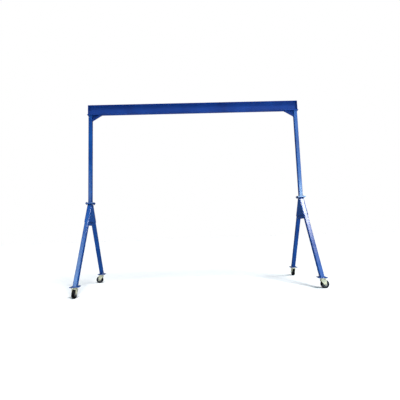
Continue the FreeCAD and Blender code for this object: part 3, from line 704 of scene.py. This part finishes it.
def knee_seams(side, sizes):
    sign = -1 if side == "left" else 1
    low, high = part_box("knee_plate_" + side)
    web_low, web_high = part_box("knee_web_" + side)
    wall = sizes["x"] - sign * sizes["half"]
    tip = low.x if sign > 0 else high.x
    web_tip = web_low.x if sign > 0 else web_high.x
    seams = []
    for end in (-1, 1):
        y = end * (web_high.y - web_low.y) / 2
        seams.append(loop([(web_tip, y, web_high.z), (wall, y, web_high.z), (wall, y, web_low.z)]))
    for x, z in ((wall, low.z), (tip, high.z)):
        seams.append([Vector((x, low.y + SINK, z)), Vector((x, high.y - SINK, z))])
    return seams


left_sizes, left_faces_at = a_frame("left")
print("gusset seams of one end frame:", len(gusset_seams("left", left_sizes, left_faces_at)))

# %% Seams of the beam's end plates
WEB_HALF = 3.5 * MM
FLANGE_DEEP = 11.0 * MM         # from a flange's outer face to the middle of its bead
FLANGE_INSET = 2.0 * MM


def beam_end_seams():
    """The seam round the I-section where each end plate closes the beam."""
    low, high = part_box("i_beam")
    edge = FLANGE_INSET - high.y
    bottom, top = low.z + FLANGE_DEEP, high.z - FLANGE_DEEP
    section = [(edge, bottom), (-WEB_HALF, bottom), (-WEB_HALF, top), (edge, top)]
    seams = []
    for x in (low.x, high.x):
        for way in (1, -1):
            seams.append([Vector((x, way * y, z)) for y, z in section])
    return seams


print("seams of the beam's ends:", len(beam_end_seams()))

# %% Lay the beads


def weld(name, seams):
    """Lay beads along seams and join them to the frame's body."""
    verts = [point for seam in seams for point in seam]
    edges = []
    start = 0
    for seam in seams:
        edges += [(start + i, start + i + 1) for i in range(len(seam) - 1)]
        start += len(seam)
    mesh = bpy.data.meshes.new(name + "_seams")
    mesh.from_pydata(verts, edges, [])
    choices = {"Bead Width": BEAD_WIDTH, "Ripple Pitch": RIPPLE_PITCH, "Seed": BEAD_SEED,
               "Finish": GLOSS_BLUE}
    piece = bake(name, place_mesh(name + "_seams", mesh), BEADS, BEAD_KEYS, choices)
    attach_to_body(piece, "frame")
    print(name, "ripple faces:", len(piece.data.polygons))


for side in SIDES:
    sizes, faces_at = a_frame(side)
    seams = tube_seams(sizes) + gusset_seams(side, sizes, faces_at)
    weld("welds_" + side, seams + cross_tube_seams(side, sizes, faces_at) + knee_seams(side, sizes))
weld("welds_beam_ends", beam_end_seams())

# %% [markdown]
# ## Hex bolts
# A forged bolt head has its corners turned off by a 30 degree cone, so a mesh of it is a
# hexagon whose top ring is a circle. A six-sided cylinder would miss that curve, so the head is
# skinned from rings of points. Shanks and washers are turned from an outline, as on a lathe.

# %% Skinning rings and turning outlines
LATHE_STEPS = 64


def rings_to_mesh(bm, rings, closed=False):
    """Skin rings of equal length; closed joins the last ring to the first."""
    rows = [[bm.verts.new(p) for p in ring] for ring in rings]
    pairs = list(zip(rows, rows[1:]))
    if closed:
        pairs.append((rows[-1], rows[0]))
    for low, high in pairs:
        for i in range(len(low)):
            j = (i + 1) % len(low)
            bm.faces.new((low[i], low[j], high[j], high[i]))
    return rows


def circle(radius, z, steps):
    turn = 2 * math.pi / steps
    return [(radius * math.cos(turn * i), radius * math.sin(turn * i), z) for i in range(steps)]


def add_lathe(bm, outline, steps=LATHE_STEPS):
    """Turn a closed outline of (radius, height) points about Z."""
    rings_to_mesh(bm, [circle(r, z, steps) for r, z in outline], closed=True)


# %% A hexagon with its corners turned off
SAMPLES = 4                     # points along each side of a hexagon
CONE = math.tan(math.radians(30))
FLAT_RING = 0.95                # the round face of a head as a share of its width over flats


def add_hexagon(bm, flats, low, high, bore=0.0):
    """A hexagon from low to high with both rims turned off by a cone."""
    apothem = flats / 2
    count = 6 * SAMPLES
    radii = []
    for i in range(count):
        angle = (2 * math.pi * i / count) % (math.pi / 3) - math.pi / 6
        radii.append(apothem / math.cos(angle))
    flat_ring = apothem * FLAT_RING

    def rim(z, way):
        points = []
        for i, radius in enumerate(radii):
            angle = 2 * math.pi * i / count
            drop = (radius - flat_ring) * CONE
            points.append((radius * math.cos(angle), radius * math.sin(angle), z - way * drop))
        return points

    rings = [circle(bore, low, count), circle(flat_ring, low, count), rim(low, -1),
             rim(high, 1), circle(flat_ring, high, count), circle(bore, high, count)]
    rings_to_mesh(bm, rings, closed=bore > 0)


print("points round a hexagon:", 6 * SAMPLES)

# %% Thread, washer and closing a mesh
THREAD_PITCH = 2.0 * MM
THREAD_DEPTH = 0.6              # as a share of the pitch
THREAD_TURNS = 14


def thread_outline(radius, low, high):
    """Outline of a shank whose lower end is threaded, with a chamfered tip."""
    depth = THREAD_DEPTH * THREAD_PITCH
    outline = [(0, low), (radius - depth, low)]
    z = low + THREAD_PITCH / 2
    threaded = min(high, low + THREAD_TURNS * THREAD_PITCH)
    while z < threaded - THREAD_PITCH:
        outline += [(radius, z), (radius - depth, z + THREAD_PITCH / 2)]
        z += THREAD_PITCH
    return outline + [(radius, z), (radius, high), (0, high)]


def finish_mesh(bm, name, sharp_degrees=38):
    """Close poles, point the faces outwards, and keep only true edges sharp."""
    bmesh.ops.remove_doubles(bm, verts=bm.verts, dist=MERGE)
    bmesh.ops.recalc_face_normals(bm, faces=bm.faces)
    limit = math.radians(sharp_degrees)
    for edge in bm.edges:
        edge.smooth = not (len(edge.link_faces) == 2 and edge.calc_face_angle(0.0) > limit)
    for face in bm.faces:
        face.smooth = True
    mesh = bpy.data.meshes.new(name)
    bm.to_mesh(mesh)
    bm.free()
    return mesh


def washer_outline(inner, outer, low, high):
    chip = (high - low) * 0.2
    return [(inner, low), (outer - chip, low), (outer, low + chip), (outer, high - chip),
            (outer - chip, high), (inner, high)]


print("thread is", THREAD_TURNS * THREAD_PITCH / MM, "mm long")

# %% [markdown]
# ## Where the bolts stand
# One node holds all bolts of a kind, as separate plain solids. Its mesh is walked from point to
# point to find each solid's box. The tallest solids are the bolts, and the shorter ones round
# the same axis are their washers and nut.

# %% Reading a node of bolts


def islands(node):
    """The box of each separate solid in a node, in the order of the mesh's own points."""
    bm = merged(node)
    left = set(bm.verts)
    boxes = []
    for first in bm.verts:
        if first not in left:
            continue
        left.remove(first)
        queue = [first]
        members = []
        while queue:
            vert = queue.pop()
            members.append(vert.co.copy())
            for edge in vert.link_edges:
                other = edge.other_vert(vert)
                if other in left:
                    left.remove(other)
                    queue.append(other)
        low = Vector([min(c[i] for c in members) for i in range(3)])
        high = Vector([max(c[i] for c in members) for i in range(3)])
        boxes.append((low, high))
    bm.free()
    return boxes


def bolt_places(node, size):
    """Where each bolt of a node stands, and the height of its parts, from its solids."""
    sets = []
    boxes = islands(node)
    tall = 0.9 * max(high.z - low.z for low, high in boxes)
    for low, high in boxes:
        if high.z - low.z < tall:
            continue
        axis = (low + high) / 2
        mates = []
        for other_low, other_high in boxes:
            centre = (other_low + other_high) / 2
            near = math.hypot(centre.x - axis.x, centre.y - axis.y) < size
            if near and other_high.z - other_low.z < tall:
                mates.append((other_low.z, other_high.z))
        sets.append(((axis.x, axis.y), low.z, high.z, sorted(mates)))
    return sets


for node in ("post_joint_bolts", "caster_plate_bolts", "beam_clamp_bolts"):
    print(node, "solids:", len(islands(node)))

# %% [markdown]
# ## Bolt sets
# A bolt, its washers and its nut are one set, modelled once about Z at the heights of the solids
# that it replaces. The tree puts the set at each place with its own turn, as wrenches leave them.

# %% Bolt tree
BOLT_SEED = 5


def bolt_tree():
    inputs = [("Bolt Set", "Object"), ("Seed", "Int"), ("Finish", "Material")]
    tree, given, keys = new_tree("bolt_sets", inputs)
    chosen = {"Object": given.outputs["Bolt Set"], "As Instance": True}
    source = add(tree, "GeometryNodeObjectInfo", chosen)
    span = {2: 0.0, 3: 2 * math.pi, "Seed": given.outputs["Seed"]}
    turn = add(tree, "FunctionNodeRandomValue", span, data_type="FLOAT")
    about = add(tree, "ShaderNodeCombineXYZ", {2: turn.outputs[1]})
    rotation = add(tree, "FunctionNodeEulerToRotation", {0: about.outputs[0]})
    sets = add(tree, "GeometryNodeInstanceOnPoints", {
        "Points": given.outputs[0],
        "Instance": source.outputs["Geometry"],
        "Rotation": rotation.outputs[0],
    })
    end_tree(tree, sets.outputs[0], given.outputs["Finish"])
    return tree, keys


BOLTS, BOLT_KEYS = bolt_tree()
print("bolt tree inputs:", sorted(BOLT_KEYS))

# %% Bolt sets
# Heights and widths are shares of the bolt's size.
HEAD = 0.65
NUT = 0.85
FLATS = 1.5
WASHER_REACH = 0.98
WASHER_BORE = 0.55
NUT_LEAST = 0.5                 # a solid higher than this is a nut
WASHER_MOST = 0.25              # and one lower than this is a flat washer


def bolt_set_mesh(name, size, low, high, mates):
    """Bolt, nut and washers about Z; heights are those of the CAD solids."""
    bm = bmesh.new()
    head_low = high - HEAD * size
    add_hexagon(bm, FLATS * size, head_low, high)
    add_lathe(bm, thread_outline(size / 2, low, head_low + 0.2 * MM), 32)
    for mate_low, mate_high in mates:
        height = mate_high - mate_low
        if height > NUT_LEAST * size:
            add_hexagon(bm, FLATS * size, mate_low, mate_high, size / 2)
        elif height < WASHER_MOST * size:
            outline = washer_outline(WASHER_BORE * size, WASHER_REACH * size, mate_low, mate_high)
            add_lathe(bm, outline, 40)
    return finish_mesh(bm, name)


def fit_bolts(node, size):
    """Replace a node of plain bolts by detailed sets at the same places."""
    places = bolt_places(node, size)
    _, low, high, mates = places[0]
    pattern = place_mesh(node + "_set", bolt_set_mesh(node + "_set", size, low, high, mates))
    points = bpy.data.meshes.new(node + "_points")
    points.from_pydata([(x, y, 0.0) for (x, y), _, _, _ in places], [], [])
    choices = {"Bolt Set": pattern, "Seed": BOLT_SEED, "Finish": finish_of(node)}
    piece = bake(node + "_hex", place_mesh(node + "_points", points), BOLTS, BOLT_KEYS, choices)
    bpy.data.objects.remove(pattern)
    print(node, "sets:", len(places))
    return piece


STRUCTURAL = 15.9 * MM
CASTER_BOLT = 9.5 * MM
attach(fit_bolts("post_joint_bolts", STRUCTURAL), "post_joint_bolts")
attach(fit_bolts("caster_plate_bolts", CASTER_BOLT), "caster_plate_bolts")

# %% [markdown]
# ## Clamp bolts
# The beam's clamp bolts also have bevel washers, wedges that give the head a level seat on the
# tapered flange. They are solids of the same node, so they are copied from it as they are.

# %% Clamp bolts with their wedges
WEDGE_WIDE = 1.9                # a wedge is wider than this and lower than that, in bolt sizes
WEDGE_HIGH = 0.7


def copy_islands(node, wanted, name):
    """A mesh of only those solids of a node whose box passes a test."""
    bm = merged(node)
    boxes = [b for b in islands(node) if wanted(*b)]
    slack = 0.01 * MM

    def inside(co):
        return any(all(lo[i] - slack <= co[i] <= hi[i] + slack for i in range(3)) for lo, hi in boxes)

    lost = [v for v in bm.verts if not inside(v.co)]
    bmesh.ops.delete(bm, geom=lost, context="VERTS")
    return finish_mesh(bm, name)


def join_meshes(name, pieces):
    """One object from several, all at the origin."""
    bm = bmesh.new()
    finish = pieces[0].data.materials[0]
    for piece in pieces:
        bm.from_mesh(piece.data)
        bpy.data.objects.remove(piece)
    mesh = bpy.data.meshes.new(name)
    bm.to_mesh(mesh)
    bm.free()
    return place_mesh(name, mesh, finish)


def is_wedge(low, high):
    width, height = high.x - low.x, high.z - low.z
    return width > WEDGE_WIDE * STRUCTURAL and height < WEDGE_HIGH * STRUCTURAL


clamp = fit_bolts("beam_clamp_bolts", STRUCTURAL)
wedges = place_mesh("wedges", copy_islands("beam_clamp_bolts", is_wedge, "wedges"),
                    finish_of("beam_clamp_bolts"))
attach(join_meshes("beam_clamp_bolts_hex", [clamp, wedges]), "beam_clamp_bolts")

# %% [markdown]
# ## Casters
# One caster is made with its swivel axis on Z and its wheel trailing towards +X, from the
# front right caster, which stands that way. Its pieces are then copied to each corner and
# turned by the direction from that corner's swivel joint to its axle.

# %% Caster sizes, measured on the frame
swivel_at = Vector(JOINT["swivel_front_right"]["pos_m"])
axle_at = Vector(JOINT["roll_front_right"]["pos_m"])
TRAIL = axle_at.x - swivel_at.x
WHEEL_R = axle_at.z


def local_box(part):
    low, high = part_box(part + "_front_right")
    shift = Vector((swivel_at.x, swivel_at.y, 0))
    return low - shift, high - shift


fork_low, fork_high = local_box("fork")
tyre_low, tyre_high = local_box("tyre")
core_low, core_high = local_box("wheel_core")
plate_low, plate_high = local_box("caster_plate")
pin_low, pin_high = local_box("kingpin")
axle_low, axle_high = local_box("axle")
TYRE_HALF = (tyre_high.y - tyre_low.y) / 2
CORE_R = (core_high.z - core_low.z) / 2
HUB_HALF = (core_high.y - core_low.y) / 2
STEEL = 6.35 * MM
AXLE_SIZE = 12.7 * MM
KINGPIN_SIZE = 15.9 * MM
PIN_ROOM = 0.05 * MM            # between a pin and its bore, on each side
print("trail", round(TRAIL, 4), "wheel radius", round(WHEEL_R, 4), "core radius", round(CORE_R, 4))

# %% [markdown]
# ## Wheel
# Tyre and centre are turned bodies, so each is one outline and its mirror image, spun about the
# axle. The tyre is moulded: it has round shoulders, a groove in each side wall, and a parting
# line round the tread where the two halves of the mould met.

# %% Tyre


def arc(cx, cy, radius, start, end, steps):
    """Points on an arc in degrees, both ends included."""
    points = []
    for i in range(steps + 1):
        angle = math.radians(start + (end - start) * i / steps)
        points.append((cx + radius * math.cos(angle), cy + radius * math.sin(angle)))
    return points


def tyre_mesh():
    """Tread with a slight crown, round shoulders, and a moulded groove in each side wall."""
    shoulder = 7.0 * MM
    groove = 1.2 * MM
    crown = 0.6 * MM
    side = [
        (CORE_R, TYRE_HALF - 1.0 * MM),
        (CORE_R + 1.5 * MM, TYRE_HALF),
        (CORE_R + 5.0 * MM, TYRE_HALF),
        (CORE_R + 6.0 * MM, TYRE_HALF - groove),
        (CORE_R + 7.6 * MM, TYRE_HALF - groove),
        (CORE_R + 8.6 * MM, TYRE_HALF),
    ]
    corner = arc(WHEEL_R - crown - shoulder, TYRE_HALF - shoulder, shoulder, 90, 0, 7)
    top = side + corner
    parting = [(WHEEL_R, 0.8 * MM), (WHEEL_R, -0.8 * MM)]
    bottom = [(r, -y) for r, y in reversed(top)]
    bm = bmesh.new()
    add_lathe(bm, top + parting + bottom, 112)
    return finish_mesh(bm, "tyre")


tyre = tyre_mesh()
print("tyre faces:", len(tyre.polygons))

# %% [markdown]
# The centre is a casting: a hub with a bearing race, a dished web with fillets, and a rim. Six
# ribs stiffen the web. They are boxes set round the hub by Geometry Nodes, because they repeat.

# %% Wheel centre


def core_mesh():
    """Hub with a bearing race, a dished web and a rim that carries the tyre."""
    hub = 22.0 * MM
    race = 14.0 * MM
    bore = AXLE_SIZE / 2 + PIN_ROOM
    rim = CORE_R - 7.0 * MM
    web = 6.0 * MM
    edge = TYRE_HALF - 1.0 * MM
    fillet = 4.0 * MM
    half = [
        (bore, HUB_HALF - 0.4 * MM),
        (bore + 3.0 * MM, HUB_HALF),
        (race - 2.5 * MM, HUB_HALF),
        (race - 2.0 * MM, HUB_HALF - 1.6 * MM),
        (race, HUB_HALF - 1.6 * MM),
        (race + 0.5 * MM, HUB_HALF - 0.3 * MM),
        (hub - 1.5 * MM, HUB_HALF - 0.3 * MM),
        (hub, HUB_HALF - 1.8 * MM),
    ]
    half += arc(hub + fillet, web + fillet, fillet, 180, 270, 4)
    half += arc(rim - fillet, web + fillet, fillet, 270, 360, 4)
    half += [(rim, edge - 0.8 * MM), (rim + 0.8 * MM, edge), (CORE_R - 0.1 * MM, edge)]
    bm = bmesh.new()
    add_lathe(bm, half + [(r, -y) for r, y in reversed(half)], 112)
    return finish_mesh(bm, "core")


core = core_mesh()
print("centre faces before its ribs:", len(core.polygons))

# %% Ribs of the wheel centre
RIBS = 6
RIB_INNER = 21.0 * MM
RIB_OUTER = CORE_R - 6.5 * MM
RIB_THICK = 5.0 * MM
RIB_WIDE = 34.0 * MM


def add_ribs(mesh):
    """Cast ribs across the web."""
    inputs = [("Ribs", "Int"), ("Radius", "Float"), ("Rib Size", "Vector"), ("Finish", "Material")]
    tree, given, keys = new_tree("wheel_ribs", inputs)
    web, count, radius, size, finish = given.outputs[:5]
    ring = add(tree, "GeometryNodeMeshCircle", {"Vertices": count, "Radius": radius})
    place = add(tree, "GeometryNodeInputPosition").outputs[0]
    rib = add(tree, "GeometryNodeMeshCube", {"Size": size})
    aim = add(tree, "FunctionNodeAlignRotationToVector", {"Vector": place}, axis="X")
    ribs = add(tree, "GeometryNodeInstanceOnPoints",
               {"Points": ring.outputs[0], "Instance": rib.outputs[0], "Rotation": aim.outputs[0]})
    both = add(tree, "GeometryNodeJoinGeometry", {0: web})
    tree.links.new(ribs.outputs[0], both.inputs[0])
    end_tree(tree, both.outputs[0], finish)
    choices = {
        "Ribs": RIBS,
        "Radius": (RIB_INNER + RIB_OUTER) / 2,
        "Rib Size": Vector((RIB_OUTER - RIB_INNER, RIB_THICK, RIB_WIDE)),
        "Finish": CAST_IRON,
    }
    piece = bake("ribbed", place_mesh("core", mesh), tree, keys, choices)
    made = piece.data
    bpy.data.objects.remove(piece)
    return made


wheel_core = add_ribs(core)
print("centre faces with its ribs:", len(wheel_core.polygons))

# %% [markdown]
# ## Fork
# The fork is pressed from one blank: a flat crown that turns down into two arms over a round
# bend. Two outlines make it. One is the bent strip seen from the front, the other is the arm
# seen from the side, and the fork is what both have in common.

# %% Prisms, cylinders and booleans


def prism(name, outline, axis, low, high):
    """Extrude a flat outline of two coordinates along X or Y."""
    bm = bmesh.new()
    rows = []
    for step in (low, high):
        if axis == "X":
            rows.append([bm.verts.new((step, a, b)) for a, b in outline])
        else:
            rows.append([bm.verts.new((a, step, b)) for a, b in outline])
    count = len(outline)
    bm.faces.new(rows[0])
    bm.faces.new(list(reversed(rows[1])))
    for i in range(count):
        j = (i + 1) % count
        bm.faces.new((rows[0][i], rows[1][i], rows[1][j], rows[0][j]))
    bmesh.ops.recalc_face_normals(bm, faces=bm.faces)
    mesh = bpy.data.meshes.new(name)
    bm.to_mesh(mesh)
    bm.free()
    return place_mesh(name, mesh)


def combine(base, tool, operation):
    """Apply a boolean and throw the tool away."""
    modifier = base.modifiers.new("boolean", "BOOLEAN")
    modifier.operation = operation
    modifier.solver = "EXACT"
    modifier.object = tool
    bpy.context.view_layer.update()
    mesh = bpy.data.meshes.new_from_object(base.evaluated_get(bpy.context.evaluated_depsgraph_get()))
    base.modifiers.clear()
    base.data = mesh
    bpy.data.objects.remove(tool)
    return base


def cylinder(name, radius, low, high, steps=64):
    bm = bmesh.new()
    add_lathe(bm, [(0, low), (radius, low), (radius, high), (0, high)], steps)
    return place_mesh(name, finish_mesh(bm, name))


# %% Fork
SPARE = 5.0 * MM                # how far a cutting shape reaches past what it cuts
CROWN_R = 40.0 * MM
EDGE_BREAK = 0.9 * MM
PIN_CUT_LOW = 140.0 * MM        # the pin's hole is cut between these heights, which lie
PIN_CUT_HIGH = 180.0 * MM       # under and over the crown


def fork_mesh():
    half = fork_high.y
    gap = half - STEEL
    top = fork_high.z
    bend = 9.0 * MM
    inner_bend = bend - STEEL
    deep = fork_low.z - SPARE
    strip = [(half, deep)] + arc(half - bend, top - bend, bend, 0, 90, 8)
    strip += arc(-half + bend, top - bend, bend, 90, 180, 8) + [(-half, deep), (-gap, deep)]
    strip += arc(-gap + inner_bend, top - STEEL - inner_bend, inner_bend, 180, 90, 5)
    strip += arc(gap - inner_bend, top - STEEL - inner_bend, inner_bend, 90, 0, 5) + [(gap, deep)]
    bent = prism("fork", strip, "X", fork_low.x - SPARE, fork_high.x + SPARE)
    eye = WHEEL_R - fork_low.z
    front = 30.0 * MM
    shoulder = top - STEEL - 26.0 * MM
    # The arm runs from the crown's front edge down to the round eye, and straight up behind it.
    side = arc(TRAIL, WHEEL_R, eye, -142, 0, 18)
    back = 12.0 * MM
    side += [(fork_high.x, top - back)] + arc(fork_high.x - back, top - back, back, 0, 90, 5)
    side += [(-front, top), (-front, shoulder + 6 * MM), (-front * 0.9, shoulder - 4 * MM)]
    view = prism("fork_side", side, "Y", -half - SPARE, half + SPARE)
    fork = combine(bent, view, "INTERSECT")
    fork = combine(fork, cylinder("crown", CROWN_R, top - STEEL, top), "UNION")
    bore = KINGPIN_SIZE / 2 + PIN_ROOM
    pin_hole = cylinder("pin_hole", bore, PIN_CUT_LOW, PIN_CUT_HIGH, 40)
    fork = combine(fork, pin_hole, "DIFFERENCE")
    bm = bmesh.new()
    bm.from_mesh(fork.data)
    bpy.data.objects.remove(fork)
    bmesh.ops.remove_doubles(bm, verts=bm.verts, dist=0.01 * MM)
    flatten(bm)
    rule = {"segments": 2, "profile": 0.5, "affect": "EDGES", "clamp_overlap": True}
    bmesh.ops.bevel(bm, geom=sharp_edges(bm), offset=EDGE_BREAK, **rule)
    return finish_mesh(bm, "fork", 50)


fork = fork_mesh()
print("fork faces:", len(fork.polygons))

# %% [markdown]
# ## Top plate, kingpin and axle
# The top plate has round corners and carries the pressed ring over the balls. The kingpin's
# nut shows under the crown. The axle is a long bolt with a lock nut outside the other arm.

# %% Top plate


def plate_mesh():
    half_x, half_y = plate_high.x, plate_high.y
    low, high = plate_high.z - STEEL, plate_high.z
    round_off = 9.0 * MM
    straight_x, straight_y = half_x - round_off, half_y - round_off
    outline = []
    for sx, sy, start in ((1, 1, 0), (-1, 1, 90), (-1, -1, 180), (1, -1, 270)):
        outline += arc(sx * straight_x, sy * straight_y, round_off, start, start + 90, 6)
    edge = 0.8 * MM
    bm = bmesh.new()
    rings = []
    for z, inset in ((low, edge), (low + edge, 0), (high - edge, 0), (high, edge)):
        rings.append([(x * (1 - inset / half_x), y * (1 - inset / half_y), z) for x, y in outline])
    rows = rings_to_mesh(bm, rings)
    bm.faces.new(list(reversed(rows[0])))
    bm.faces.new(rows[-1])
    ring_low = plate_low.z
    race = 37.0 * MM
    wall = 3.2 * MM
    lip = 1.6 * MM
    flare = 3.0 * MM
    ring = [(race - wall, ring_low), (race - lip, ring_low)]
    ring += arc(race - lip, ring_low + lip, lip, -90, 0, 4)
    ring += [(race, low - flare)]
    ring += arc(race + flare, low - flare, flare, 180, 90, 4)
    ring += [(race - wall, low)]
    add_lathe(bm, ring, 72)
    return finish_mesh(bm, "plate")


top_plate = plate_mesh()
print("top plate faces:", len(top_plate.polygons))

# %% Kingpin and axle
KINGPIN_NUT = 8.0 * MM
TIP_CHAMFER = 1.0 * MM


def kingpin_mesh():
    radius = KINGPIN_SIZE / 2
    bm = bmesh.new()
    add_hexagon(bm, FLATS * KINGPIN_SIZE, pin_low.z, pin_low.z + KINGPIN_NUT)
    outline = [(0, pin_low.z), (radius - TIP_CHAMFER, pin_low.z), (radius, pin_low.z + TIP_CHAMFER),
               (radius, pin_high.z), (0, pin_high.z)]
    add_lathe(bm, outline, 40)
    return finish_mesh(bm, "kingpin")


def axle_mesh():
    """Axle bolt along Z, head at the low end, lock nut at the high end."""
    size = AXLE_SIZE
    bm = bmesh.new()
    reach = fork_high.y
    head_low = max(-reach - HEAD * size, axle_low.y)
    add_hexagon(bm, FLATS * size, head_low, -reach)
    thread = [(r, -z) for r, z in thread_outline(size / 2, -axle_high.y, reach)]
    add_lathe(bm, thread, 40)
    add_hexagon(bm, FLATS * size, reach, reach + NUT * size, size / 2)
    return finish_mesh(bm, "axle")


kingpin = kingpin_mesh()
axle_bolt = axle_mesh()
print("kingpin and axle faces:", len(kingpin.polygons), len(axle_bolt.polygons))

# %% [markdown]
# ## Four casters
# The wheel's pieces were turned about Z, so they are first laid down on the axle's line. A copied
# mesh gets its place in its own points and its object stays at the origin, as every piece here
# does. The top plate and the kingpin stay square to the frame, and the rest turns to the trail.

# %% Copies at the four corners
caster_parts = {
    "fork": fork,
    "caster_plate": top_plate,
    "kingpin": kingpin,
    "axle": axle_bolt,
    "tyre": tyre,
    "wheel_core": wheel_core,
}
lie_down = Matrix.Translation((TRAIL, 0, WHEEL_R)) @ Matrix.Rotation(math.radians(-90), 4, "X")
for part in ("axle", "tyre", "wheel_core"):
    caster_parts[part].transform(lie_down)

for corner in CORNERS:
    swivel = Vector(JOINT["swivel_" + corner]["pos_m"])
    axle = Vector(JOINT["roll_" + corner]["pos_m"])
    turn = math.atan2(axle.y - swivel.y, axle.x - swivel.x)
    stand = Matrix.Translation((swivel.x, swivel.y, 0))
    trailing = stand @ Matrix.Rotation(turn, 4, "Z")
    for part, mesh in caster_parts.items():
        node = part + "_" + corner
        copy = mesh.copy()
        copy.transform(stand if part in ("caster_plate", "kingpin") else trailing)
        attach(place_mesh(node + "_made", copy, finish_of(node)), node)
print("caster faces:", sum(len(m.polygons) for m in caster_parts.values()))
